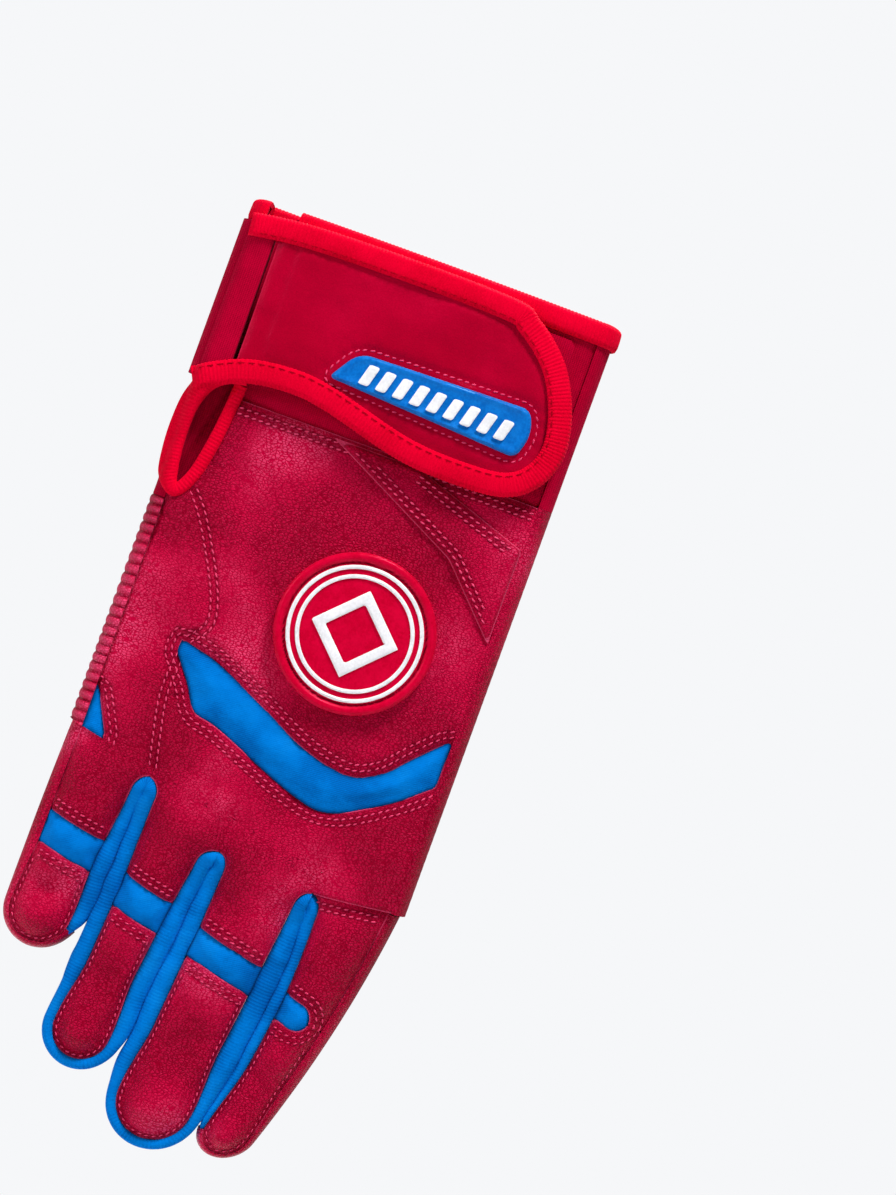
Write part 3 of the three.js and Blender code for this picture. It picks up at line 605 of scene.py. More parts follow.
def leather_finish(name, low, mid, high, grain=1.0, gloss=0.34, pebble=1.0):
    """Pebbled leather: small cells with lighter crowns, soft patches, painted highlights on the crowns,
    and painted shade with a painted rim highlight at seam edges.
    """
    finish = Finish(name, Specular_IOR_Level=0.24, Specular_Tint=(1, 0.05, 0.24, 1))
    where = finish.place()
    drift = finish.noise(where, 0.9, 2.0)
    warped = finish.node(
        "VectorMath", {"operation": "MULTIPLY_ADD"},
        {0: finish.node("TexNoise", {}, {"Vector": where, "Scale": 0.7}, out=1),
         1: (0.7, 0.7, 0.7), 2: where},
    )
    # Pebbles lie longer across the glove than along it, as the hide creases
    warped = finish.node("Mapping", {}, {"Vector": warped, "Scale": (1, 1, 1.6)})
    cells = finish.node(
        "TexVoronoi", {"feature": "DISTANCE_TO_EDGE"},
        {"Vector": warped, "Scale": 1.05 / grain, "Randomness": 0.9},
    )
    pores = finish.noise(where, 2.6, 2.0, 0.6)
    folds = finish.noise(where, 0.07, 3.0, 0.6)
    crown = cells.between(0.0, 0.24)
    patches = finish.noise(where, 0.03, 1.0)
    seam = finish.value("seam")
    # Painted shade in the groove along each seam, fading out 1.1 mm from it
    edge = 1 - seam.between(0.0, 1.1)
    shade = crown * 0.35 * pebble + patches.between(0.38, 0.62) * 0.4 + folds * 0.2 + 0.05
    colour = finish.mix(shade.between(0.15, 0.75), low, mid)
    # Painted highlight: in noise patches and on fold tops the pebble crowns take the pale pink high
    # colour
    painted_highlight_patches = patches.between(0.5, 0.66) * folds.between(0.3, 0.6)
    colour = finish.mix(crown.between(0.2, 1.0) * (painted_highlight_patches * 0.5 + 0.03) * pebble, colour, high)
    colour = finish.mix(edge * 0.6, colour, low)
    # Painted highlight on the rolled rim right at each seam
    colour = finish.mix((1 - seam.between(0.05, 0.4)) * 0.45, colour, high)
    # Painted highlight on the crests of a gathered strip's folds
    colour = finish.mix(finish.value("crest") * 0.3, colour, high)
    # Darker along stitch rows; on a gathered strip this same value is painted shade in the fold valleys
    rows = finish.value("stitched")
    colour = finish.mix(rows.between(0.15, 0.9) * 0.7, colour, (112, 0, 24))
    height = crown * 0.95 + pores * 0.05
    near = finish.bump(folds, 1.6, strength=0.4)
    normal = finish.bump(height, 0.24 * grain, near, 0.65 * pebble)
    rough = gloss + drift * 0.12 - crown * 0.06
    return finish.paint(Base_Color=colour, Roughness=rough, Normal=normal)


def stretch_finish(name, low, mid, high):
    """Ribbed stretch cloth: fine slanting ribs crossed by a weave, with painted shade at its edges."""
    finish = Finish(
        name, Specular_IOR_Level=0.06, Specular_Tint=(0.1, 0.5, 1, 1), Sheen_Weight=0.06,
        Sheen_Roughness=0.4, Sheen_Tint=(0.2, 0.6, 1, 1))
    spot = finish.surface()
    axes = [finish.node("SeparateXYZ", {}, {0: spot}, out=k) for k in (0, 1)]
    ribs = ((axes[0] * 0.75 + axes[1]) * (2 * math.pi / 0.62)).maths("SINE")
    weave = ((axes[1] * 0.6 - axes[0]) * (2 * math.pi / 0.4)).maths("SINE")
    where = finish.place()
    patches = finish.noise(where, 0.09, 3.0)
    fuzz = finish.noise(where, 4.0, 2.0)
    cloth = ribs * 0.3 + weave * 0.12 + 0.5
    shade = cloth * 0.3 + patches.between(0.3, 0.7) * 0.45 + fuzz * 0.25
    colour = finish.mix(shade.between(0.08, 0.55), low, mid)
    colour = finish.mix(shade.between(0.6, 0.95) * 0.5, colour, high)
    # Painted shade, dark navy, where the cloth dips under the leather's edges
    dark = finish.value("shade")
    colour = finish.mix(dark.between(0.0, 1.0) * 0.88, colour, (2, 22, 66))
    folds = finish.bump(finish.noise(where, 0.3, 3.0), 0.8, strength=0.5)
    normal = finish.bump(cloth + fuzz * 0.25, 0.09, folds, 0.6)
    return finish.paint(
        Base_Color=colour, Roughness=0.62 + fuzz * 0.2, Normal=normal
    )


def hexagons(finish, size):
    """Distance from each cell's middle, 0 there and 1 at its edge, on the piece's surface."""
    spot = finish.surface()
    where = finish.place()
    jog = finish.node("TexNoise", {}, {"Vector": where, "Scale": 0.35}, out=1)
    spot = finish.node(
        "VectorMath", {"operation": "MULTIPLY_ADD"}, {0: jog, 1: (0.9, 0.9, 0), 2: spot}
    )
    tall = math.sqrt(3)
    u, v = (finish.node("SeparateXYZ", {}, {0: spot}, out=k) / size for k in (0, 1))
    a = (u % 1.0 - 0.5, v % tall - tall / 2)
    b = ((u - 0.5) % 1.0 - 0.5, (v - tall / 2) % tall - tall / 2)

    def to_edge(cell):
        x, y = (axis.maths("ABSOLUTE") for axis in cell)
        return (x * 0.5 + y * (tall / 2)).maths("MAXIMUM", x) * 2

    return to_edge(a).maths("MINIMUM", to_edge(b))


def grip_finish(name, low, mid, high, size=2.1):
    """Embossed grip leather: dark six-sided cells between paler raised lines."""
    finish = Finish(name, Specular_IOR_Level=0.3, Specular_Tint=(1, 0.15, 0.35, 1))
    cell = hexagons(finish, size)
    where = finish.place()
    pores = finish.noise(where, 2.6, 3.0, 0.6)
    wear = finish.noise(where, 0.07, 3.0)
    line = cell.between(0.62, 0.92)
    rubbed = line * wear.between(0.36, 0.62)
    colour = finish.mix(line * 0.75 + pores * 0.25, low, mid)
    colour = finish.mix(rubbed * 0.7 + line * pores * 0.2, colour, high)
    folds = finish.bump(finish.noise(where, 0.16, 4.0), 1.6, strength=0.5)
    normal = finish.bump(line + pores * 0.25, 0.35, folds, 0.8)
    return finish.paint(
        Base_Color=colour, Roughness=0.52 - line * 0.12 + pores * 0.1, Normal=normal
    )


# How red knitted cloth and tape shine
KNIT = {
    "Specular_IOR_Level": 0.05, "Specular_Tint": (1, 0.1, 0.2, 1), "Sheen_Weight": 0.05,
    "Sheen_Tint": (1, 0.1, 0.3, 1),
}


def cloth_finish(name, low, mid, pitch=0.55, rough=0.8):
    """Fine knitted face of the padded cuff and of the strap's side."""
    finish = Finish(name, Sheen_Roughness=0.5, **KNIT)
    where = finish.place()
    axes = [finish.node("SeparateXYZ", {}, {0: where}, out=k) for k in (0, 2)]
    knit = (axes[0] * (2 * math.pi / pitch)).maths("SINE") * 0.5
    knit = knit + (axes[1] * (2 * math.pi / (pitch * 0.8))).maths("SINE") * 0.4
    fuzz = finish.noise(where, 3.0, 3.0)
    patches = finish.noise(where, 0.06, 3.0)
    shade = knit * 0.3 + fuzz * 0.4 + patches * 0.4
    colour = finish.mix(shade.between(0.1, 0.75), low, mid)
    folds = finish.bump(finish.noise(where, 0.14, 3.0), 1.5, strength=0.4)
    normal = finish.bump(knit * 0.5 + fuzz, 0.1, folds, 0.6)
    return finish.paint(Base_Color=colour, Roughness=rough + fuzz * 0.1, Normal=normal)


def tape_finish(name, low, mid, high):
    """Bright knitted binding tape, whose ribs are in its shape."""
    finish = Finish(name, Sheen_Roughness=0.45, **KNIT)
    where = finish.place()
    fuzz = finish.noise(where, 2.4, 3.0, 0.6)
    patches = finish.noise(where, 0.08, 2.0)
    shade = fuzz * 0.5 + patches * 0.5
    colour = finish.mix(shade.between(0.3, 0.6), low, mid)
    colour = finish.mix(shade.between(0.58, 0.8) * 0.6, colour, high)
    normal = finish.bump(fuzz, 0.14, strength=0.7)
    return finish.paint(Base_Color=colour, Roughness=0.66 + fuzz * 0.15, Normal=normal)


def rubber_finish(name, low, mid, gloss=0.3, tint=(1, 1, 1, 1)):
    """Moulded soft rubber with a faint orange skin and small scuffs, and painted shade in its grooves.
    """
    finish = Finish(name, Specular_IOR_Level=0.3, Specular_Tint=tint)
    where = finish.place()
    skin = finish.noise(where, 1.6, 3.0)
    scuffs = finish.noise(where, 0.22, 4.0, 0.7)
    colour = finish.mix((skin * 0.4 + scuffs * 0.6).between(0.35, 0.65), low, mid)
    # Painted shade in the grooves: the low colour darkened
    groove = tuple(c * 0.62 for c in low)
    colour = finish.mix(finish.value("groove").between(0, 1), colour, groove)
    normal = finish.bump(skin, 0.04, strength=0.4)
    return finish.paint(
        Base_Color=colour, Roughness=gloss + scuffs.between(0.4, 0.7) * 0.2, Normal=normal
    )


# Leather colours run low, mid and high; high is the pale pink of the painted highlights, and low is also
# the painted seam shade
CRIMSON = ((134, 0, 30), (186, 2, 54), (246, 86, 134))
smooth_leather = leather_finish("smooth_leather", *CRIMSON)
strap_leather = leather_finish("strap_leather", (160, 0, 34), (176, 0, 42), (206, 30, 72), pebble=0.25)
palm_leather = leather_finish("palm_leather", (140, 0, 32), (182, 2, 50), (232, 60, 106), 0.9, 0.32)
grip_leather = grip_finish("grip_leather", (118, 0, 26), (186, 8, 50), (228, 70, 112))
stretch_cloth = stretch_finish("stretch_cloth", (0, 80, 158), (0, 114, 202), (20, 144, 224))
cuff_cloth = cloth_finish("cuff_cloth", (146, 0, 32), (184, 2, 48))
binding_tape = tape_finish("binding_tape", (196, 0, 32), (220, 0, 42), (234, 14, 58))
red_rubber = rubber_finish("red_rubber", (188, 0, 40), (206, 0, 50), 0.26, (1, 0.1, 0.25, 1))
# Painted shade for the inside of the vent holes, laid on as a flat disc
dark_hole = rubber_finish("dark_hole", (30, 4, 12), (44, 8, 18), 0.7, (1, 0.1, 0.2, 1))
blue_rubber = rubber_finish("blue_rubber", (2, 92, 178), (6, 114, 202), 0.3, (0.3, 0.7, 1, 1))
white_rubber = rubber_finish("white_rubber", (222, 222, 226), (240, 240, 244), 0.36)
thread = cloth_finish("thread", (206, 30, 78), (244, 92, 136), 0.3, 0.6)
dark_thread = cloth_finish("dark_thread", (150, 0, 22), (196, 4, 34), 0.3, 0.6)


# Lines on the back of the hand
SLIT_EDGE = -0.77 * HALF_WIDTH
SLIT_LOOP = 4.6
SLIT_FOOT = CUFF + 0.254 * HAND


# Down the slit's inner edge, round its foot and up its outer edge, as a drop
SLIT_DROP = spline([
    (-35.6, 44.0), (-36.2, 52.0), (-37.4, 61.0), (-39.2, 69.0), (-42.3, 73.8), (-45.4, 70.6),
    (-46.6, 64.0), (-46.8, 57.0), (-46.0, 50.5), (-43.6, 45.4), (-39.6, 42.2), (-34.6, 41.0),
], 120)


INSERT_TOP = hand_spot([
    (-0.58, 0.62), (-0.4, 0.64), (-0.11, 0.7), (0.19, 0.77), (0.45, 0.8), (0.62, 0.77),
    (0.74, 0.71), (0.86, 0.652), (0.912, 0.635),
])
INSERT_FOOT = hand_spot([
    (0.912, 0.75), (0.88, 0.765), (0.71, 0.83), (0.45, 0.9), (0.23, 0.89), (-0.24, 0.8),
    (-0.39, 0.78), (-0.47, 0.72), (-0.58, 0.65),
])
insert_ring = resampled(np.vstack([spline(INSERT_TOP, 60), spline(INSERT_FOOT, 60)]), 1.2, True)
wedge_ring = resampled(hand_spot([
    (-0.916, 0.8), (-0.885, 0.82), (-0.79, 0.91), (-0.8, 0.935), (-0.916, 0.925),
]), 1.0, True)
overlay_ring = hand_spot([
    (-0.2, 0.012), (0.57, 0.2), (0.81, 0.32), (0.91, 0.37), (0.91, 0.118), (0.27, 0.012),
])
overlay_ring = resampled(overlay_ring, 1.2, True)
GAPS = [(-24.0, 0.0), (0.0, 0.0), (24.0, 0.0)]
side_seam = spline([(-37.4, 72.6), (-32.9, 78.4), (-25.1, 92.4), (-22.5, 101.5), (-26.0, 107.0)], 20)
corner_seam = spline([(-27.0, 112.0), (-27.5, 122.0), (-25.5, 133.0), (-24.0, 140.0)], 16)
cuff_seam = np.array([(SLIT_EDGE, CUFF + 0.4), (PLATE, CUFF + 0.4)])
slit_foot = int(SLIT_DROP[:, 1].argmax())
slit_seam = SLIT_DROP[:slit_foot + 12]
HAND_SEAMS = [
    (insert_ring, True, 1.7, 1.1), (wedge_ring, True, 1.5, 0.9), (cuff_seam, False, 1.6, 0.9),
    (slit_seam, False, 1.6, 0.8), (side_seam, False, 1.2, 0.55), (corner_seam, False, 1.2, 0.5),
    (ring_offset(insert_ring, 1.7), True, 0.5, 0.3), (ring_offset(insert_ring, 3.2), True, 0.6, 0.4),
    (ring_offset(wedge_ring, 1.7), True, 0.5, 0.3), (ring_offset(wedge_ring, 3.2), True, 0.6, 0.35),
    (overlay_ring, True, 1.4, 0.3),
]
rim_seam = (np.array([(-PLATE, SLIT_FOOT + SLIT_LOOP - 3), (-PLATE, knuckle_at(-PLATE))]), False)
HAND_SEAMS.append((*rim_seam, 1.0, 0.8))


badge_centre = np.array([0.25 * HALF_WIDTH, CUFF + 0.457 * HAND])


def hand_lift(spots):
    """Relief of the hand's leather: sewn dips, puckers beside them and soft unevenness."""
    lift = 0.8 + 0.5 * waves(spots, 25, 3) + 0.17 * waves(spots, 8, 5)
    round_badge = np.linalg.norm(spots - badge_centre, axis=1)
    lift -= 0.8 * bell(round_badge - 24, 5) * (0.6 + 0.4 * waves(spots, 30, 6))
    for line, closed, wide, deep in HAND_SEAMS:
        gap, _, run = nearest(spots, line, closed)
        pucker = np.sin(run * 2 * math.pi / 2.6) + 0.6 * np.sin(run * 2 * math.pi / 4.3 + 1)
        lift += 0.16 * pucker * bell(gap - 1.9 * wide, 1.5 * wide) * min(1, deep)
        lift -= deep * bell(gap, wide)
    for across, lean in GAPS:
        above = knuckle_at(across) - spots[:, 1]
        line = across + lean * above
        lift -= 1.2 * bell(spots[:, 0] - line, 1.8) * (1 - smooth(above, -4, 9))
        lift -= 1.3 * bell(spots[:, 0] - line, 4.6) * (1 - smooth(above, -4, 23))
    return lift


# A lift function takes the spots, their gap to the piece's edge and how far round it they are
def hand_back_lift(spots, gap, run):
    return hand_lift(spots)


def set_value(piece, key, column):
    attribute = piece.data.attributes.get(key) or piece.data.attributes.new(key, "FLOAT", "POINT")
    attribute.data.foreach_set("value", np.asarray(column, np.float32))


def without_rim(piece):
    """Marks every point as far from a seam, so that the piece's leather gets no painted seam shade or
    painted rim highlight at its edges.
    """
    far = 9.0
    set_value(piece, "seam", np.full(len(piece.data.vertices), far))


def rides(piece, body, slot, *nodes):
    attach(piece, body)
    if nodes:
        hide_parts(*nodes)
    return piece


def folds(piece, body, slot, node, start, end):
    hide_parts(node)
    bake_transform(piece)
    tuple(start)
    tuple(end)
    return piece


def across_line(low, high, along, count=30):
    across = np.linspace(low, high, count)
    return np.stack([across, along(across) if callable(along) else np.full(count, along)], 1)


# Back of the hand
plate_left, plate_right = -PLATE, PLATE
# The right end of the back's foot is a flap that reaches over the forefinger's root
flap_top, flap_foot = fingers["index"].plan(partings["index", -1][[0, -1]]) * [1, -1]
flap_corner = (plate_right, knuckle_at(plate_right) - 0.1)
flap_seam = (np.linspace(flap_foot, flap_corner, 20), False)
drop = SLIT_DROP[(SLIT_DROP[:, 1] > CUFF + SEAT) & (np.arange(len(SLIT_DROP)) < slit_foot + 20)]
drop = drop[drop[:, 0] > plate_left]
hand_ring = np.vstack([
    drop[::-1],
    across_line(drop[0, 0], plate_right, CUFF + SEAT),
    [flap_corner, flap_foot, flap_top + [0.02, 0]],
    across_line(flap_top[0] - 0.1, plate_left, lambda x: knuckle_at(x) - 0.1),
])
back_leather = panel(
    "hand_back_leather", hand, BACK, hand_ring, smooth_leather, hand_back_lift, LEATHER,
    holes=[insert_ring, wedge_ring], cell=0.65, roll=0.35, seams=[*HAND_SEAMS[:4], rim_seam, flap_seam],
)
rides(back_leather, "hand", "smooth_leather", "back_panel")


def insert_lift(spots, gap, run):
    rumple = 0.22 * waves(spots * [0.5, 1], 9, 8)
    return -0.35 + 1.35 * (1 - bell(gap, 3.4)) + rumple * (1 - bell(gap, 2.0))


def shaded(piece, reach):
    """Paints shade on a stretch piece towards its sewn edges, where it dips under the leather."""
    column = np.zeros(len(piece.data.vertices), np.float32)
    piece.data.attributes["seam"].data.foreach_get("value", column)
    set_value(piece, "shade", np.exp(-column / reach) * 0.9)
    return piece


knuckle_cloth = shaded(panel(
    "knuckle_insert_cloth", hand, BACK, ring_offset(insert_ring, 0.25), stretch_cloth,
    insert_lift, STRETCH, cell=0.7, roll=0.3,
), 0.7)
rides(knuckle_cloth, "hand", "stretch_cloth", "knuckle_insert")
wedge_cloth = shaded(panel(
    "side_insert_cloth", hand, BACK, ring_offset(wedge_ring, 0.25), stretch_cloth,
    insert_lift, STRETCH, cell=0.6, roll=0.3,
), 0.6)
rides(wedge_cloth, "hand", "stretch_cloth", "side_insert")


def overlay_lift(spots, gap, run):
    return hand_lift(spots) * 0.7 + 1.15 - 0.25 * bell(gap - 2.6, 0.7)


overlay = panel(
    "back_overlay_leather", hand, BACK, overlay_ring, smooth_leather, overlay_lift, LEATHER,
    cell=0.8, roll=0.5,
)
rides(overlay, "hand", "smooth_leather", "back_overlay")


# Side strips. The section runs from the back face round the edge to the palm face
def c_section(reach, half, wall, steps=10):
    turn = np.linspace(-math.pi / 2, math.pi / 2, steps + 1)
    outer = np.stack([reach * np.cos(turn), half * np.sin(turn)], 1)
    inner = np.stack([(reach - wall) * np.cos(turn), (half - wall) * np.sin(turn)], 1)
    return np.vstack([outer, inner[::-1]])


# Shallower gathers than this don't show in a strip's colour
SEEN_GATHER = 0.02


def side_strip(name, side, top, foot, reach, wall, material, gather=0.0, pitch=0.45):
    path = resampled([(side * PLATE, top), (side * PLATE, foot)], pitch)

    def section(k, share):
        profile = c_section(reach, SIDE_DEPTH + 0.3, wall, 16)
        profile[:17] *= 1 + gather * (folded(k) - 0.5)
        return profile

    def folded(k):
        """1 on the crest of each cross fold and 0 in the narrow valleys between."""
        return np.abs(np.sin(k * pitch * math.pi / 2.6 + 0.8 * np.sin(k * pitch / 7))) ** 0.6

    def seated(spot, out, profile):
        spots = spot + profile[:, :1] * out
        spots[:, 1] = np.minimum(spots[:, 1], knuckle_at(spots[:, 0]) - 0.1)
        x, z = hand.plan(spots).T
        return np.stack([x, profile[:, 1], z], 1)

    outs = np.tile([side, 0.0], (len(path), 1))
    piece = sweep(name, path, outs, seated, section, material)
    crests = folded(np.arange(len(path))) if gather > SEEN_GATHER else np.zeros(len(path))
    around = len(piece.data.vertices) // len(path)
    without_rim(piece)
    # Painted highlight on the crest of each cross fold
    set_value(piece, "crest", np.repeat(crests**5, around))
    # Painted shade in the valleys between the folds, carried by the stitched value
    if gather > SEEN_GATHER:
        set_value(piece, "stitched", np.repeat(0.9 * (1 - crests), around))
    return piece


foot_left, foot_right = knuckle_at(-PLATE), knuckle_at(PLATE)
rides(
    side_strip("little_finger_side_seam", -1, SLIT_FOOT + SLIT_LOOP - 0.2, foot_left,
               SIDE_BULGE - 0.2, LEATHER, smooth_leather, gather=0.13),
    "hand", "smooth_leather", "pinky_side_piping",
)
rides(
    side_strip("forefinger_side_leather", 1, CUFF + 0.1, foot_right, SIDE_BULGE - 0.3, LEATHER,
               smooth_leather, gather=0.012),
    "hand", "smooth_leather", "thumb_side_wall",
)


# Palm of the hand
palm_join = CUFF + 0.5 * HAND
mouth_ring = spline(hand_spot([
    (0.7, 0.13), (0.36, 0.2), (0.16, 0.31), (0.2, 0.44), (0.5, 0.47), (0.73, 0.46), (0.74, 0.3),
]), 40, True)


def palm_lift(spots, gap, run):
    return 0.35 + 0.25 * waves(spots, 19, 12) - 0.6 * bell(gap, 1.5)


heel_ring = resampled([
    (-PLATE, CUFF + SEAT), (PLATE, CUFF + SEAT), (PLATE, palm_join), (-PLATE, palm_join),
], 2.0, True)
heel = panel(
    "palm_heel_leather", hand, PALM, heel_ring, palm_leather, palm_lift, LEATHER,
    holes=[mouth_ring], cell=1.0, roll=0.4,
)
rides(heel, "hand", "smooth_leather", "palm_heel")
grip_ring = np.vstack([
    across_line(-PLATE, PLATE, palm_join + SEAT), across_line(PLATE, -PLATE, knuckle_at),
])
grip = panel(
    "palm_grip_leather", hand, PALM, grip_ring, grip_leather, palm_lift, LEATHER, cell=1.0,
    roll=0.3,
)
rides(grip, "hand", "grip_leather", "palm_grip")


# Fingers
class Knuckled:
    """A finger's back, whose root takes the hand's own surface."""

    def __init__(self, finger):
        self.finger = finger

    def point(self, spots, side, lift):
        finger = self.finger
        plan = finger.plan(spots)
        over = np.stack([plan[:, 0], -plan[:, 1]], 1)
        own = finger.depth(spots, side) + lift
        # The hand's leather ends over the forefinger's root as a flap
        under = 1.5 if finger.name == "index" else 0.0
        root = hand.depth(over, side) + hand_lift(over) - under
        left, right = CROTCH[finger.name]
        parting = lerp(left, right, np.clip(spots[:, 0] / finger.half / 2 + 0.5, 0, 1))
        share = smooth(spots[:, 1] - finger.start(spots[:, 0]), 0.8 * parting, 0.8 * parting + 13)
        return np.stack([plan[:, 0], side * lerp(root, own, share), plan[:, 1]], 1)


# The turn of the leather between two fingers, and how much of the side cloth it hides at a tip
CROTCH_RADIUS, TIP_COVER = 4.2, 0.42


def tip_cover(finger, along):
    """How far the leather laps over the side cloth as it comes to the tip."""
    return TIP_COVER * finger.wall * smooth(along, finger.cap - 18, finger.cap)


def covered_edge(finger, along):
    """Half width of the leather, which hides more of the side cloth near the crotch."""
    crotch = 0.27 * finger.wall * (1 - smooth(along, 4, 34))
    return finger.edge(along) + crotch + tip_cover(finger, along)


def leather_half(finger, along, side):
    """Half width of the leather on one side: down the parting and round the crotch."""
    line = partings.get((finger.name, side))
    if line is None:
        return finger.edge(along) + tip_cover(finger, along)
    edge, (reach, crotch) = covered_edge(finger, along), np.abs(line[-1])
    rise = np.clip((along - crotch) / CROTCH_RADIUS, 0, 1)
    below = edge + (reach - edge) * (1 - np.sqrt(1 - (1 - rise) ** 2))
    return np.where(along < crotch, np.interp(along, line[:, 1], np.abs(line[:, 0])), below)


def leather_line(finger, side, first, last):
    """The leather's edge on one side, with its turn at the crotch drawn evenly."""
    line = partings.get((finger.name, side))
    rows = np.linspace(first, last, 50)
    if line is not None:
        turn = line[-1, 1] + CROTCH_RADIUS * (1 - np.cos(np.radians(np.arange(0, 91, 7.5))))
        rows = np.unique(np.concatenate([rows, turn]))
        rows = rows[(rows >= first) & (rows <= last)]
    return np.stack([side * leather_half(finger, rows, side), rows], 1)


def slanted(finger, row, count=16):
    """A line across the finger that crosses its middle at row, on the band's slant."""
    left, right = (float(leather_half(finger, row + s * 1.7, s)) for s in (-1, 1))
    across = np.linspace(-left, right, count)
    return np.stack([across, row + BAND_SLANT * across], 1)


def between_rows(finger, first, last):
    """Ring round a piece between two lines across a finger. Lines run from left to right."""
    right = leather_line(finger, 1, first[-1, 1], last[-1, 1])[1:-1]
    left = leather_line(finger, -1, first[0, 1], last[0, 1])[::-1][1:-1]
    return np.vstack([first, right, last[::-1], left])


# Where across the forefinger its band starts to round off, and how deep a finger's hollow is
BAND_END, HOLLOW = -1.2, 3.2


def cap_line(finger):
    """The finger's outline from its left side, round the tip, to its right side."""
    turn = np.linspace(-math.pi / 2, math.pi / 2, 25)
    reach = finger.tip_half + TIP_COVER * finger.wall
    return np.stack([reach * np.sin(turn), finger.cap + reach * np.cos(turn)], 1)


def ring_to_tip(finger, line):
    """Ring from a line across the finger, round the tip and back to it."""
    left = leather_line(finger, -1, line[0, 1], finger.cap)[1:-1]
    right = leather_line(finger, 1, line[-1, 1], finger.cap)[::-1][1:-1]
    return np.vstack([left, cap_line(finger), right, line[::-1]])


def band_line(finger, row):
    """The band's edge across a finger; the forefinger's turns round its end to its middle."""
    line = slanted(finger, row, 16 if finger.name != "index" else 60)
    if finger.name != "index":
        return line
    middle = sum(finger.band) / 2
    drop = middle - row
    turn = np.linspace(0, math.pi / 2, 10)
    spots = np.stack([BAND_END + abs(drop) * np.sin(turn), row + drop * (1 - np.cos(turn))], 1)
    across = np.linspace(BAND_END + abs(drop), float(leather_half(finger, middle + 1.7, 1)), 12)[1:]
    past = np.stack([across, np.full(len(across), middle)], 1)
    bent = np.vstack([spots, past])
    bent[:, 1] += BAND_SLANT * bent[:, 0]
    return np.vstack([line[line[:, 0] < BAND_END - 0.3], bent])


def band_end(finger, line):
    """The part of a band's edge that lies on the band itself."""
    if finger.name != "index":
        return line
    return line[line[:, 0] < BAND_END + (finger.band[1] - finger.band[0]) / 2 + 0.1]


def finger_lift(finger, seed, bands):
    def lift(spots, gap, run):
        across, along = spots.T
        rise = 0.75 + 0.3 * waves(spots + 31 * seed, 13, 20 + seed)
        rise += 0.12 * waves(spots, 5, 40 + seed)
        # An empty finger sinks in the middle of its last joint
        hollow = bell(along - lerp(bands[1], finger.cap, 0.62), 0.24 * (finger.cap - bands[1]) + 1)
        rise -= HOLLOW * hollow * bell(across, 0.62 * finger.root_edge)
        on_band = 1 - smooth(across, BAND_END + 1, BAND_END + 4) if finger.name == "index" else 1
        for row in bands:
            off = along - row - BAND_SLANT * across
            pucker = np.sin(across * 2 * math.pi / 2.5 + seed)
            rise -= 0.9 * on_band * bell(off, 1.3)
            rise += 0.18 * on_band * pucker * bell(np.abs(off) - 2.6, 1.8)
        left, right = (leather_half(finger, np.maximum(along, 0.1), s) for s in (-1, 1))
        side = np.where(across < 0, left, right) - np.abs(across)
        side = np.where(along > finger.cap, finger.edge(along) - np.abs(across), side)
        rise -= 0.55 * bell(np.maximum(side, 0), 1.1)
        return rise
    return lift


STRAND_STEPS = 12


def strand_section(wall, front, back):
    """Puffed side strip: a rounded bead on each face, joined down the side."""
    radius = 0.52 * wall
    bead = np.radians(np.linspace(205, 0, STRAND_STEPS))
    def beads(shrink):
        r = radius - shrink
        top = np.stack([radius + r * np.cos(bead), -front + radius + -r * np.sin(bead)], 1)
        foot = np.stack([radius + r * np.cos(bead), back - radius + r * np.sin(bead)], 1)[::-1]
        middle = [[radius * 2 - shrink - 0.25, 0.0]]
        return np.vstack([top, middle, foot])
    return np.vstack([beads(0), beads(0.55 * radius)[::-1]])


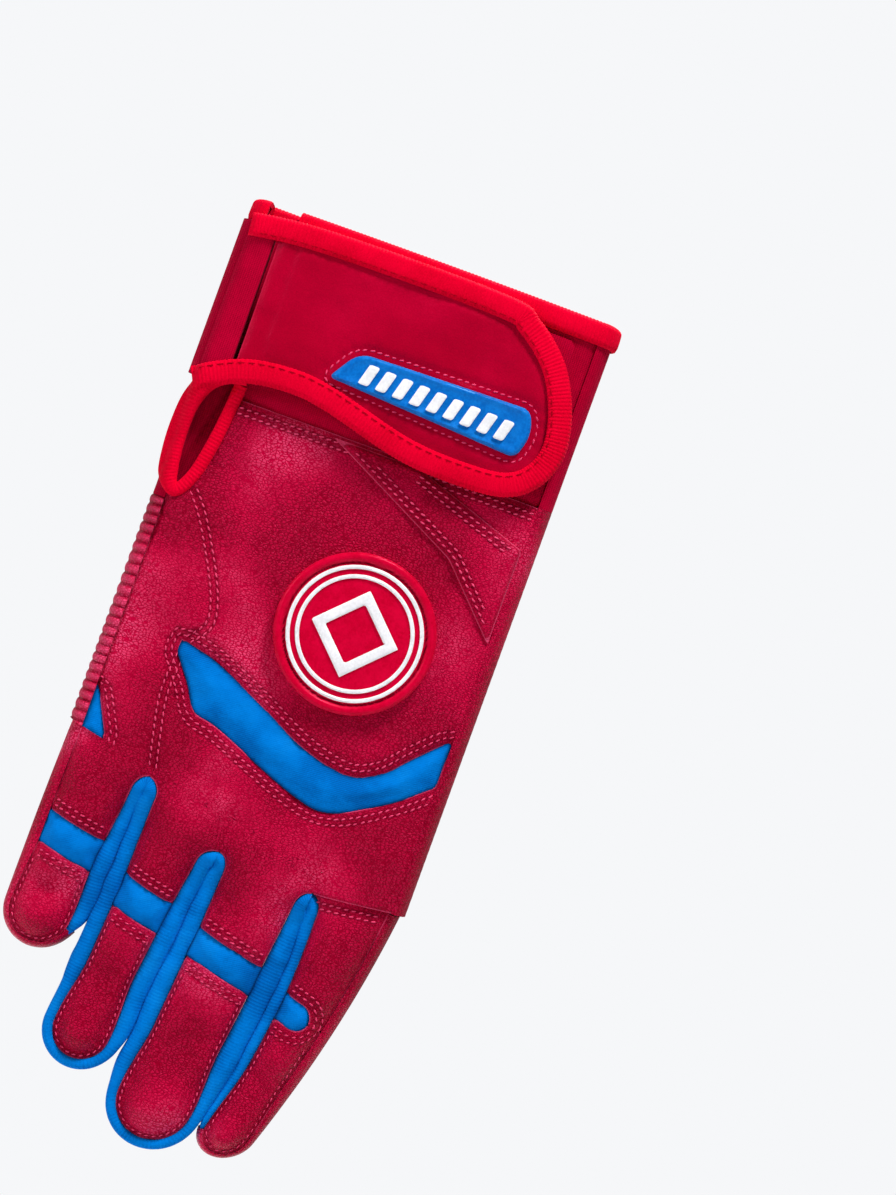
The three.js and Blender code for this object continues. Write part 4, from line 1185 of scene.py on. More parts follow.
def build_finger(finger, seed):
    name = finger.name
    knuckled = Knuckled(finger)
    start, end = finger.band
    half = finger.half
    ends = [
        partings[name, s][0, 0] if (name, s) in partings else s * float(finger.edge(0))
        for s in (-1, 1)]
    across = np.linspace(*ends, 24)
    hidden = 2.2 if name == "index" else 0.1
    root = np.stack([across, finger.start(across) - hidden], 1)
    lift = finger_lift(finger, seed, finger.band)
    ring = between_rows(finger, root, band_line(finger, start))

    def rim(sign, last):
        first = partings[name, sign][-1, 1] if (name, sign) in partings else finger.start(sign * half)
        return leather_line(finger, sign, first, last)

    seams = [
        (rim(-1, start), False), (rim(1, start), False),
        (band_end(finger, band_line(finger, start)), False),
    ]
    back = panel(
        f"{name}_back_leather", knuckled, BACK, ring, smooth_leather, lift, LEATHER,
        cell=0.75, roll=0.3, seams=seams,
    )
    band_ring = between_rows(finger, slanted(finger, start - 0.3), slanted(finger, end + 0.3))
    if name == "index":
        over = band_end(finger, band_line(finger, start)) + [0.3, -0.3]
        under = band_end(finger, band_line(finger, end)) + [0.3, 0.3]
        inner_side = leather_line(finger, -1, over[0, 1], under[0, 1])[::-1][1:-1]
        band_ring = np.vstack([over, under[::-1], inner_side])
    band_ring = band_ring * [1 + 0.6 / half, 1]
    band = shaded(panel(
        f"{name}_flex_cloth", finger, BACK, band_ring, stretch_cloth,
        lambda spots, gap, run: -0.5 + 1.2 * (1 - bell(gap, 2.2)) + 0.15 * waves(spots, 6, seed),
        STRETCH, cell=0.6, roll=0.3,
    ), 0.6)
    first = band_line(finger, end)
    tip_rim = (np.vstack([
        leather_line(finger, -1, first[0, 1], finger.cap), cap_line(finger),
        leather_line(finger, 1, first[-1, 1], finger.cap)[::-1],
    ]), False)
    tip = panel(
        f"{name}_tip_leather", finger, BACK, ring_to_tip(finger, first), smooth_leather, lift, LEATHER,
        cell=0.75, roll=0.3, seams=[tip_rim, (band_end(finger, first), False)],
    )
    palm_first = np.stack([across, finger.start(across) + 0.1], 1)
    palm = panel(
        f"{name}_palm_leather", finger, PALM, ring_to_tip(finger, palm_first), grip_leather,
        lambda spots, gap, run: 0.35 + 0.25 * waves(spots, 12, 60 + seed) - 0.6 * bell(gap, 1.3),
        LEATHER, cell=0.85, roll=0.3,
    )

    # The side strips follow the leather's edge from the root, round the tip and back
    outline = np.vstack([
        rim(1, finger.cap)[:-1], cap_line(finger)[::-1], rim(-1, finger.cap)[::-1][1:]])
    outline = resampled(outline, 0.8)
    outs = normals_of(outline)
    outs[0] = (0, 1) if (name, 1) in partings else (1, 0)
    outs[-1] = (0, 1) if (name, -1) in partings else (-1, 0)
    tops = -knuckled.point(outline, BACK, lift(outline, None, None))[:, 1]
    tops = np.convolve(np.pad(tops, 3, mode="edge"), np.ones(7) / 7, "valid")

    # A strand fills half the way to the next finger's leather, so that the pair touches as sewn
    beside = finger.plan(outline)
    outer, wrap = OUTER_SIDE[name], finger.cap_row(0.4 * TIP_FLAT)
    covered = covered_edge(finger, outline[:, 1]) - finger.edge(outline[:, 1])
    on_wall = outline[:, 0] * outer > 0
    at_tip = tip_cover(finger, outline[:, 1])
    wide = finger.wall - np.where(on_wall, at_tip, covered)
    plain = finger.wall - covered + at_tip
    for other in fingers.values():
        if abs(FINGERS.index(other.name) - FINGERS.index(name)) == 1:
            # The middle finger's strand hides most of the forefinger's
            share = STRAND_SHARES.get((name, other.name), 0.5)
            crotch = abs(partings[name, 1 if (name, 1) in partings else -1][-1, 1])
            share = lerp(0.5, share, smooth(outline[:, 1], crotch + 4, crotch + 16))
            half_way = nearest(beside, side_lines[other.name])[0] * share + 0.05
            spare = 2.6 if {name, other.name} == {"middle", "index"} else 1.6
            close = 1 - smooth(half_way - plain, spare / 2, spare * 1.4)
            close *= 1 - smooth(outline[:, 1], finger.cap - 5, finger.cap + 4)
            toward = FINGERS.index(other.name) - FINGERS.index(name)
            close *= smooth(outline[:, 0] * toward, -1, 1)
            wide = lerp(wide, np.minimum(half_way, plain + spare), close)
    least = np.lib.stride_tricks.sliding_window_view(np.pad(wide, 4, mode="edge"), 9).min(1)
    least = np.convolve(np.pad(least, 4, mode="edge"), np.ones(9) / 9, "valid")
    wide = np.convolve(np.pad(wide, 2, mode="edge"), np.ones(5) / 5, "valid")
    if name in ("ring", "middle"):
        # Beside a shorter finger's tip the strand thins evenly
        crotch = partings[name, -1][-1, 1]
        evenly = smooth(outline[:, 1], crotch + 14, crotch + 22) * (outline[:, 0] < 0)
        wide = lerp(wide, least, evenly)
    for side in (-1, 1):
        if (name, side) in partings:
            # Round the crotch a strand keeps the width that it has just below
            below = partings[name, side][-1, 1] + CROTCH_RADIUS + 0.6
            turning = (outline[:, 0] * side > 0) & (outline[:, 1] < below)
            start_of = np.abs(outline[:, 1] - below) + 99 * (outline[:, 0] * side < 0)
            wide[turning] = np.maximum(wide[turning], wide[start_of.argmin()] + 0.6)
            near = 0.7 * (1 - smooth(outline[:, 1], below, below + 8))
            wide += np.where((outline[:, 0] * side > 0) & ~turning, near, 0)

    def strand(key, chosen, material, puff):
        path, ways, front, span = outline[chosen], outs[chosen], tops[chosen], wide[chosen]
        # A strand that stops beside a leather wall sinks under it at its end
        sunk = np.zeros(len(path))
        if outer and puff:
            sunk = smooth(path[:, 1], finger.cap - 1, wrap)

        def section(k, share):
            if puff:
                return strand_section(
                    span[k] - 0.9 * sunk[k], front[k] + 0.9 - 1.8 * sunk[k],
                    FINGER_SIDE + 0.6 - 1.4 * sunk[k])
            return c_section(span[k] - 0.1, front[k] + 0.1, LEATHER)

        def seated(spot, out, profile):
            spots = spot + profile[:, :1] * out
            spots[:, 1] = np.where(
                spot[1] < 1.2, np.maximum(spots[:, 1], finger.start(spots[:, 0])), spots[:, 1])
            for side in (-1, 1):
                line = partings.get((name, side))
                if line is not None and spot[0] * side > 0 and spot[1] < line[-1, 1] + CROTCH_RADIUS:
                    # Near the crotch a strand stops at the middle between the fingers
                    middle = abs(line[-1, 0]) + 0.12
                    spots[:, 0] = np.clip(spots[:, 0], -middle, middle)
            x, z = finger.plan(spots).T
            return np.stack([x, profile[:, 1], z], 1)

        return sweep(key, path, ways, seated, section, material)

    # The little finger and the forefinger have cloth on their inner side only
    inner = (outline[:, 0] * outer < 0) | (outer == 0)
    chosen = np.where(inner & ((outline[:, 1] < wrap + 1) | (outer == 0)))[0]
    gusset = strand(f"{name}_side_cloth", chosen, stretch_cloth, True)
    # Painted shade where a bead is sewn to the leather on each face
    around = 2 * (2 * STRAND_STEPS + 1)
    ring_shade = np.zeros(around)
    for m, dark in enumerate((1, 0.75, 0.35)):
        ring_shade[[m, 2 * STRAND_STEPS - m]] = dark
    set_value(gusset, "shade", np.tile(ring_shade, len(gusset.data.vertices) // around))
    pieces = [(gusset, "stretch_cloth", f"{name}_gusset")]
    if outer:
        rest = np.where(~(inner & (outline[:, 1] < wrap - 1.5)))[0]
        wall = strand(f"{name}_side_leather", rest, smooth_leather, False)
        without_rim(wall)
        pieces.append((wall, "smooth_leather", f"{name}_outer_wall"))
    centre = np.array([[0.0, 0.0]])
    top = Vector(finger.point(centre - [0, 0.3], BACK, 0)[0] * MM)
    foot = Vector(finger.point(centre + [0, 10.0], BACK, 0)[0] * MM)
    top.y = foot.y = 0
    for piece, slot, node in [
        (back, "smooth_leather", f"{name}_back"), (palm, "grip_leather", f"{name}_palm"), *pieces,
    ]:
        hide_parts(node)
        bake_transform(piece)
    rides(band, finger.body, "stretch_cloth", f"{name}_flex_band")
    rides(tip, finger.body, "smooth_leather", f"{name}_tip_back")
    finger_seams.append((finger, knuckled, lift, top, foot))
    backs[name], tips[name] = back, tip


STRAND_SHARES = {("middle", "index"): 0.68, ("index", "middle"): 0.32}
finger_seams, backs, tips = [], {}, {}
side_lines = {}
for finger in fingers.values():
    side_lines[finger.name] = finger.plan(np.vstack([
        leather_line(finger, 1, 2.5, finger.cap), cap_line(finger)[::-1],
        leather_line(finger, -1, 2.5, finger.cap)[::-1],
    ]))
for seed, finger in enumerate(fingers.values()):
    build_finger(finger, seed + 1)


# Thumb stall, folded over the palm
THUMB_DEPTH, THUMB_CROWN, THUMB_RISE, THUMB_EDGE = 8.6, 2.6, 13.0, 3.2
THUMB_RING = hand_spot([
    (0.81, 0.06), (0.5, 0.13), (0.06, 0.27), (-0.33, 0.45), (-0.58, 0.6), (-0.66, 0.72),
    (-0.64, 0.81), (-0.5, 0.87), (-0.29, 0.895), (-0.08, 0.86), (0.08, 0.78), (0.3, 0.67),
    (0.56, 0.59), (0.85, 0.53),
])
thumb_outline = spline(THUMB_RING, 90)
thumb_crease = thumb_outline[[-1, 0]]
thumb_ring = resampled(thumb_outline, 1.0, True)


class Stall:
    def height(self, spots):
        rise = smooth(nearest(spots, thumb_crease)[0], 0, THUMB_RISE)
        crown = THUMB_CROWN * smooth(nearest(spots, thumb_outline)[0], 0, THUMB_RISE)
        return 2 * SEAT + LEATHER + (THUMB_DEPTH - LEATHER + crown) * rise

    def point(self, spots, side, lift):
        x, z = hand.plan(spots).T
        return np.stack([x, hand.depth(spots, PALM) + self.height(spots) + lift, z], 1)


stall = Stall()


def thumb_lift(spots, gap, run):
    from_edge = nearest(spots, thumb_outline)[0]
    pucker = np.sin(run * 2 * math.pi / 3.1)
    lift = 0.3 + 0.3 * waves(spots, 17, 31) + 0.1 * waves(spots, 6, 32)
    return lift - 0.6 * bell(from_edge, 1.4) + 0.14 * pucker * bell(from_edge - 3, 2)


thumb_face = panel(
    "thumb_outer_leather", stall, PALM, thumb_ring, palm_leather, thumb_lift, LEATHER, cell=0.9,
    roll=0.4,
)
split = 0.1 * HALF_WIDTH
inner_ring = np.array([s for s in thumb_ring if s[0] < split])
thumb_under = panel(
    "thumb_inner_leather", hand, PALM, inner_ring, palm_leather,
    lambda spots, gap, run: np.full(len(spots), SEAT + LEATHER), LEATHER, cell=1.2, roll=0.3,
)
edge_path = resampled(thumb_outline, 0.8)
edge_path = edge_path[nearest(edge_path, thumb_crease)[0] > THUMB_RISE / 2]


def thumb_section(k, share):
    return c_section(1.0, 1.0, 2 * LEATHER / THUMB_DEPTH)


def thumb_beside(spot, out, profile):
    here = spot[None]
    tall = float(stall.height(here)[0]) - SEAT
    spots = spot + profile[:, :1] * THUMB_EDGE * out
    x, z = hand.plan(spots).T
    foot = float(hand.depth(here, PALM)[0]) + SEAT
    return np.stack([x, foot + tall * (profile[:, 1] + 1) / 2, z], 1)


thumb_side = sweep(
    "thumb_side_leather", edge_path, -normals_of(edge_path), thumb_beside, thumb_section,
    palm_leather,
)
without_rim(thumb_side)
crease_middle = thumb_crease.mean(0)
inward = thumb_outline[45] - crease_middle
inward /= np.linalg.norm(inward)
crease_start = Vector((crease_middle[0], 0, -crease_middle[1])) * MM
crease_end = crease_start + Vector((inward[0], 0, -inward[1])) * 7 * MM
for piece, node in (
    (thumb_face, "thumb_outer"), (thumb_under, "thumb_inner"), (thumb_side, "thumb_wall"),
):
    folds(piece, "thumb", "smooth_leather", node, crease_start, crease_end)


# Cuff
def cuff_lift(spots, gap, run):
    return 0.1 * waves(spots, 23, 50) - 0.3 * bell(gap, 1.2) - 0.9 * smooth(spots[:, 1], CUFF - 1, CUFF)


cuff_foot = CUFF + 1.2
front_ring = resampled([
    (SLIT_EDGE, 0.3), (PLATE, 0.3), (PLATE, cuff_foot), (SLIT_EDGE, cuff_foot)], 2.0, True)
rear_ring = resampled([
    (-PLATE, 0.3), (PLATE, 0.3), (PLATE, cuff_foot), (-PLATE, cuff_foot)], 2.0, True)
for key, face, ring in ("back", BACK, front_ring), ("palm", PALM, rear_ring):
    rides(
        panel(f"cuff_{key}_cloth", hand, face, ring, cuff_cloth, cuff_lift, NEOPRENE, cell=1.2,
              roll=0.3),
        "hand", "cuff_cloth", f"cuff_{key}",
    )
for finger_side, side, foot, node in (
    ("forefinger", 1, CUFF + 0.1, "cuff_thumb_side"),
    ("little_finger", -1, SLIT_FOOT + SLIT_LOOP - 0.2, "cuff_pinky_side"),
):
    rides(
        side_strip(f"cuff_{finger_side}_side_cloth", side, 0.3, foot, SIDE_BULGE - 0.3, LEATHER,
                   cuff_cloth, 0.006),
        "hand", "cuff_cloth", node,
    )


# Binding tape: a rounded fold over an edge, whose ribs cross it
RIB, RIB_RISE, RIB_STEP = 0.95, 0.08, 0.19


def tape_section(low, high, width, wall=0.9):
    """Closed outline of a folded tape: both lips outside a sheet between low and high."""
    lip = width - wall
    turn = np.radians(np.linspace(90, -90, 11))
    middle, tall = (low + high) / 2, (high - low) / 2 + SEAT
    outer = np.stack([SEAT + (wall + 0.5) * np.cos(turn), middle + (tall + wall) * np.sin(turn)], 1)
    swell = np.array([[-lip, high + SEAT + 0.25], [-lip + 0.35, high + SEAT + 0.75],
                      [-lip * 0.66, high + SEAT + wall + 0.12], [-lip * 0.33, high + SEAT + wall + 0.1]])
    under = swell[::-1] * [1, -1] + [0, 2 * middle]
    inner = np.array([[-lip, low - SEAT], [SEAT, low - SEAT], [SEAT, high + SEAT], [-lip, high + SEAT]])
    return np.vstack([swell, outer, under, inner]), len(swell) * 2 + len(outer)


def ribbed(name, line, low, high, width, vertex_at, closed=False, wall=0.9):
    path = resampled(line, RIB_STEP, closed)
    outs = normals_of(path, closed)
    base, skin = tape_section(low, high, width, wall)
    middle = np.array([-(width - wall) / 2, (low + high) / 2])

    def section(k, share):
        profile = base.copy()
        ray = profile[:skin] - middle
        ray /= np.linalg.norm(ray, axis=1)[:, None]
        profile[:skin] += ray * RIB_RISE * math.sin(k * RIB_STEP * 2 * math.pi / RIB)
        return profile

    return sweep(name, path, outs, vertex_at, section, binding_tape, closed)


top_left = SLIT_EDGE + SEAT + 0.9


def mouth_line(left, right, side):
    """Along one face of the cuff's mouth, seen from above."""
    across = np.linspace(left, right, 40)
    return np.stack([across, side * hand.depth(np.stack([across, 0 * across], 1), side)], 1)


def mouth_turn(side, first, last):
    """Round one side of the cuff's mouth, from the back face at -90 to the palm at 90."""
    turn = np.radians(np.linspace(first, last, 20))
    reach = SIDE_BULGE - 0.3
    return np.stack([side * (PLATE + reach * np.cos(turn)), SIDE_DEPTH * np.sin(turn)], 1)


def around_mouth(spot, out, profile):
    beside = spot + profile[:, 1:] * out
    return np.stack([beside[:, 0], beside[:, 1], profile[:, 0]], 1)


back_mouth = np.vstack([mouth_line(top_left, PLATE - 0.3, BACK), mouth_turn(1, -90, 0)])
palm_mouth = np.vstack([
    mouth_turn(1, 2, 90), mouth_line(PLATE - 0.3, 0.3 - PLATE, PALM), mouth_turn(-1, 90, -90)])
for key, line in ("back", back_mouth), ("palm", palm_mouth):
    rides(
        ribbed(f"cuff_{key}_tape", line, -NEOPRENE, 0, 5.2, around_mouth),
        "hand", "binding_tape", f"cuff_{key}_binding",
    )


def slit_vertex(spot, out, profile):
    return hand.point(spot + profile[:, :1] * out, BACK, profile[:, 1])


def slit_tape():
    path = resampled(SLIT_DROP, RIB_STEP)
    outs = normals_of(path)
    turn = np.radians(np.linspace(0, 180, 11))
    low = int(path[:, 1].argmax())

    def section(k, share):
        rib = RIB_RISE * math.sin(k * RIB_STEP * 2 * math.pi / RIB)
        # The outer branch climbs to meet the strap's own tape
        outer = float(smooth(k, low, low + 30))
        climb = 3.7 * (1 - float(smooth(path[k][1], 45, 64))) * outer
        half = 1.7 + 1.0 * outer
        top = np.stack([half * np.cos(turn), climb + SEAT + (1.6 + rib) * np.sin(turn) ** 0.7], 1)
        top[[0, -1], 1] -= climb * 0.7
        return top

    return sweep("slit_tape", path, outs, slit_vertex, section, binding_tape)


rides(slit_tape(), "hand", "binding_tape", "slit_binding")


# Inside the slit the far side's cloth shows, folded towards the wrist
def lining_lift(spots, gap, run):
    fold = spots[:, 0] + 43.4 - 0.26 * (67 - spots[:, 1])
    return -2.6 - 1.6 * smooth(fold, -0.5, 0.5) - 1.5 * bell(fold, 0.7)


lining = panel(
    "slit_lining_cloth", hand, BACK, ring_offset(SLIT_DROP, 0.9), cuff_cloth, lining_lift, 0.8,
    cell=0.6, roll=0.2)
rides(lining, "hand", "cuff_cloth")


# Landing pad and strap
pad_ring = resampled([
    (SLIT_EDGE + 5.2, 5.5), (PLATE - 5.2, 5.5), (PLATE - 5.2, CUFF - 5.2), (SLIT_EDGE + 5.2, CUFF - 5.2),
], 2.0, True)
rides(
    panel("loop_pad_cloth", hand, BACK, pad_ring, cuff_cloth,
          lambda spots, gap, run: np.full(len(spots), SEAT + 1.2), 1.2, cell=1.4),
    "hand", "cuff_cloth", "loop_pad",
)
STRAP_LONG, STRAP_TALL = 1.896 * HALF_WIDTH, 0.957 * CUFF
STRAP_ROOT, STRAP_DROP = -0.98 * HALF_WIDTH, 2.4
STRAP_LOW, STRAP_SHEET = 3.1, 2.0


def strap_spot(shares):
    return np.array([
        [STRAP_ROOT + a * STRAP_LONG, STRAP_DROP + b * STRAP_TALL] for a, b in shares])


strap_line = spline(strap_spot([
    (0, 0.04), (0.22, 0), (0.72, 0), (0.82, 0.06), (0.92, 0.23), (0.98, 0.46), (1, 0.68),
    (0.97, 0.86), (0.9, 0.97), (0.78, 1), (0.6, 0.98), (0.36, 0.86), (0.24, 0.84), (0.12, 0.88),
    (0, 1),
]), 140)
strap_top = STRAP_LOW + STRAP_SHEET
seam_across = STRAP_ROOT + 0.09 * STRAP_LONG


def rounded(corners, radii):
    """A closed outline with its corners turned on short curves."""
    ring = []
    for k, corner in enumerate(corners):
        before, after = corners[k - 1] - corner, corners[(k + 1) % len(corners)] - corner
        first = corner + before / np.linalg.norm(before) * radii[k]
        last = corner + after / np.linalg.norm(after) * radii[k]
        t = np.linspace(0, 1, 9)[:, None]
        ring.append((1 - t) ** 2 * first + 2 * t * (1 - t) * corner + t**2 * last)
    return resampled(np.vstack(ring), 0.5, True)


label_ring = rounded(strap_spot([
    (0.345, 0.72), (0.402, 0.54), (0.89, 0.512), (0.914, 0.64), (0.893, 0.79),
]), (1.5, 3.6, 2.4, 3.0, 2.4))


def strap_lift(spots, gap, run):
    rise = strap_top + 0.2 + 0.3 * waves(spots, 24, 70) + 0.1 * waves(spots, 8, 71)
    if len(spots) and spots[:, 0].max() > seam_across + 1:
        near, _, along = nearest(spots, label_ring, True)
        pucker = np.sin(along * 2 * math.pi / 2.3) + 0.6 * np.sin(along * 2 * math.pi / 3.7 + 1)
        rise += 0.13 * pucker * bell(near - 2.6, 1.6) - 0.45 * bell(near - 1.6, 0.8)
    return rise - 0.35 * bell(gap - 4.6, 0.8)


strap_ring = resampled(strap_line, 1.2, True)
main_ring = np.array([s for s in strap_ring if s[0] > seam_across + 0.05])
root_ring = np.array([s for s in strap_ring if s[0] < seam_across - 0.05])
strap_face = panel(
    "strap_leather", hand, BACK, main_ring, strap_leather, strap_lift, STRAP_SHEET, cell=0.9,
    roll=0.45)
rides(strap_face, "strap", "smooth_leather", "strap_panel")
strap_end = panel(
    "strap_root_cloth", hand, BACK, root_ring, cuff_cloth, strap_lift, STRAP_SHEET, cell=0.7,
    roll=0.45)
# The root is sewn to the cuff's side, and on the glove the strap bends between there and the seam;
# fold_start and fold_end mark that line
fold_start = Vector((STRAP_ROOT, 0, 0)) * MM
fold_end = Vector((seam_across, 0, 0)) * MM
folds(strap_end, "strap", "cuff_cloth", "strap_root", fold_start, fold_end)
folds(
    ribbed("strap_tape", strap_line, STRAP_LOW, strap_top, 5.2, on_patch(hand, BACK)),
    "strap", "binding_tape", "strap_binding", fold_start, fold_end,
)
hook_ring = resampled(strap_spot([(0.38, 0.23), (0.83, 0.23), (0.83, 0.72), (0.38, 0.72)]), 2.0, True)
rides(
    panel("hook_pad_cloth", hand, BACK, hook_ring, cuff_cloth,
          lambda spots, gap, run: np.full(len(spots), 2 * SEAT + 1.2 + 1.0), 1.0, cell=1.4),
    "strap", "cuff_cloth", "hook_pad",
)
label_low = strap_top + SEAT


def label_lift(spots, gap, run):
    rim = 0.35 * bell(gap - 0.9, 0.7)
    return label_low + 1.2 + rim


rides(
    panel("strap_label_rubber", hand, BACK, label_ring, blue_rubber, label_lift, 1.2, cell=0.6),
    "strap", "blue_rubber", "strap_label",
)


def slanted_bars():
    """Plain slanted bars in a row along the label, which sinks a little to the right."""
    left, right, count = 0.425, 0.865, 9
    top, foot, sink, slant = 0.582, 0.7, 0.03, 0.016
    pitch = (right - left) / count
    bars = []
    for k in range(count):
        x, low = left + k * pitch, sink * k / count
        bars.append(rounded(strap_spot([
            (x, foot + low), (x + slant, top + low), (x + slant + 0.6 * pitch, top + low),
            (x + 0.6 * pitch, foot + low),
        ]), (0.5, 0.5, 0.5, 0.5)))
    return bars


rides(
    panels("label_bars_rubber", hand, BACK, slanted_bars(), white_rubber,
           lambda spots, gap, run: np.full(len(spots), label_low + 1.2 + SEAT + 0.5), 0.5, 0.35,
           0.15),
    "strap", "white_rubber", "label_bars",
)

# The anchor wraps the cuff's side outside its wall
anchor_path = resampled([(-PLATE, STRAP_DROP + 0.04 * STRAP_TALL), (-PLATE, STRAP_TALL)], 0.8)


def anchor_section(k, share):
    return c_section(SIDE_BULGE + 1.5 + SEAT, SIDE_DEPTH + SEAT + 1.2, 1.2, 14)


anchor = sweep(
    "strap_anchor_cloth", anchor_path, np.tile([-1.0, 0.0], (len(anchor_path), 1)),
    on_edge(hand), anchor_section, cuff_cloth,
)
rides(anchor, "hand", "cuff_cloth", "strap_anchor")


# Badge
BADGE_RADIUS, BADGE_SHEET = 20.2, 1.6


def circle(share, count=120):
    turn = np.linspace(0, 2 * math.pi, count, endpoint=False)
    return badge_centre + BADGE_RADIUS * share * np.stack([np.cos(turn), np.sin(turn)], 1)


def diamond(share):
    reach = share * BADGE_RADIUS
    corners = badge_centre + reach * np.array([(1, 0), (0, 1), (-1, 0), (0, -1)])
    return resampled(corners, 0.8, True)


badge_top = SEAT + BADGE_SHEET + 0.9


def badge_lift(spots, gap, run):
    from_middle = np.linalg.norm(spots - badge_centre, axis=1) / BADGE_RADIUS
    tube = 0.7 * np.sqrt(np.clip(1 - ((from_middle - 0.945) / 0.06) ** 2, 0, 1))
    return badge_top + tube - 0.4 * bell(from_middle - 0.875, 0.016)


badge_plate = panel(
    "badge_rubber", hand, BACK, circle(1), red_rubber, badge_lift, BADGE_SHEET, cell=0.5, roll=0.3)
badge_reach = np.linalg.norm(cut_spots["badge_rubber"] - badge_centre, axis=1) / BADGE_RADIUS
# Painted shade along the badge's groove
set_value(badge_plate, "groove", bell(badge_reach - 0.875, 0.014))
rides(badge_plate, "hand", "red_rubber", "badge_plate")


def printed(name, outline, hole, node):
    piece = panel(
        name, hand, BACK, outline, white_rubber,
        lambda spots, gap, run: np.full(len(spots), badge_top + 0.6), 0.6, holes=[hole],
        cell=0.45, roll=0.25,
    )
    rides(piece, "hand", "white_rubber", node)


printed("badge_outer_ring_rubber", circle(0.845), circle(0.795), "badge_ring")
printed("badge_inner_ring_rubber", circle(0.73), circle(0.68), "badge_ring")
printed("badge_diamond_rubber", diamond(0.56), diamond(0.38), "badge_mark")


# Stitches: small slanted lengths of thread laid along rows on the leather
def geometry_inputs(tree, sockets):
    for key, kind, value in sockets:
        socket = tree.interface.new_socket(key, in_out="INPUT", socket_type="NodeSocket" + kind)
        if value is not None:
            socket.default_value = value
    tree.interface.new_socket("Geometry", in_out="OUTPUT", socket_type="NodeSocketGeometry")
    return tree.nodes.new("NodeGroupInput"), tree.nodes.new("NodeGroupOutput")


def adder(tree):
    """A function that adds one node to a tree, with its settings, values and links."""
    def add(kind, settings=None, **inputs):
        node = tree.nodes.new(kind)
        for key, value in (settings or {}).items():
            setattr(node, key, value)
        for key, value in inputs.items():
            socket = node.inputs[key.replace("_", " ")]
            if isinstance(value, bpy.types.NodeSocket):
                tree.links.new(value, socket)
            else:
                socket.default_value = value
        return node
    return add


def stitch_tree():
    tree = bpy.data.node_groups.new("stitch_row", "GeometryNodeTree")
    source, result = geometry_inputs(tree, [
        ("Geometry", "Geometry", None), ("Pitch", "Float", 0.002), ("Length", "Float", 0.0015),
        ("Width", "Float", 0.0005), ("Slant", "Float", 0.2), ("Thread", "Material", None),
    ])
    add = adder(tree)
    curve = add("GeometryNodeMeshToCurve", Mesh=source.outputs["Geometry"])
    rows = add("GeometryNodeResampleCurve", {"mode": "LENGTH"}, Curve=curve.outputs[0],
               Length=source.outputs["Pitch"])
    bead = add("GeometryNodeMeshUVSphere", Segments=6, Rings=5, Radius=0.5)
    size = add("ShaderNodeCombineXYZ", X=source.outputs["Length"], Y=source.outputs["Width"],
               Z=source.outputs["Width"])
    lean = add("ShaderNodeCombineXYZ", Z=source.outputs["Slant"])
    length = add("GeometryNodeTransform", Geometry=bead.outputs[0], Scale=size.outputs[0],
                 Rotation=lean.outputs[0])
    tangent = add("GeometryNodeInputTangent")
    facing = add("GeometryNodeInputNamedAttribute", {"data_type": "FLOAT_VECTOR"}, Name="facing")
    along = add("FunctionNodeAlignRotationToVector", {"axis": "X"}, Vector=tangent.outputs[0])
    upright = add("FunctionNodeAlignRotationToVector", {"axis": "Z", "pivot_axis": "X"},
                  Rotation=along.outputs[0], Vector=facing.outputs[0])
    copies = add("GeometryNodeInstanceOnPoints", Points=rows.outputs[0],
                 Instance=length.outputs[0], Rotation=upright.outputs[0])
    real = add("GeometryNodeRealizeInstances", Geometry=copies.outputs[0])
    round_ = add("GeometryNodeSetShadeSmooth", Geometry=real.outputs[0])
    painted = add("GeometryNodeSetMaterial", Geometry=round_.outputs[0],
                  Material=source.outputs["Thread"])
    tree.links.new(painted.outputs[0], result.inputs[0])
    return tree


def vent_tree():
    """A small disc of painted shade for a hole, with a raised lip, on each point of the holder."""
    tree = bpy.data.node_groups.new("vents", "GeometryNodeTree")
    source, result = geometry_inputs(tree, [
        ("Geometry", "Geometry", None), ("Radius", "Float", 0.0005), ("Lip", "Float", 0.0002),
        ("Inside", "Material", None), ("Outside", "Material", None),
    ])
    add = adder(tree)
    points = add("GeometryNodeMeshToPoints", Mesh=source.outputs["Geometry"])
    disc = add("GeometryNodeMeshCylinder", Vertices=16, Radius=source.outputs["Radius"],
               Depth=0.0003)
    dark = add("GeometryNodeSetMaterial", Geometry=disc.outputs[0],
               Material=source.outputs["Inside"])
    ring = add("GeometryNodeCurvePrimitiveCircle", Resolution=20, Radius=source.outputs["Radius"])
    cord = add("GeometryNodeCurvePrimitiveCircle", Resolution=6, Radius=source.outputs["Lip"])
    lip = add("GeometryNodeCurveToMesh", Curve=ring.outputs[0], Profile_Curve=cord.outputs[0])
    pale = add("GeometryNodeSetMaterial", Geometry=lip.outputs[0],
               Material=source.outputs["Outside"])
    both = tree.nodes.new("GeometryNodeJoinGeometry")
    for part in (dark, pale):
        tree.links.new(part.outputs[0], both.inputs[0])
    facing = add("GeometryNodeInputNamedAttribute", {"data_type": "FLOAT_VECTOR"}, Name="facing")
    upright = add("FunctionNodeAlignRotationToVector", {"axis": "Z"}, Vector=facing.outputs[0])
    copies = add("GeometryNodeInstanceOnPoints", Points=points.outputs[0],
                 Instance=both.outputs[0], Rotation=upright.outputs[0])
    real = add("GeometryNodeRealizeInstances", Geometry=copies.outputs[0])
    tree.links.new(real.outputs[0], result.inputs[0])
    return tree


stitch_row = stitch_tree()
vents = vent_tree()


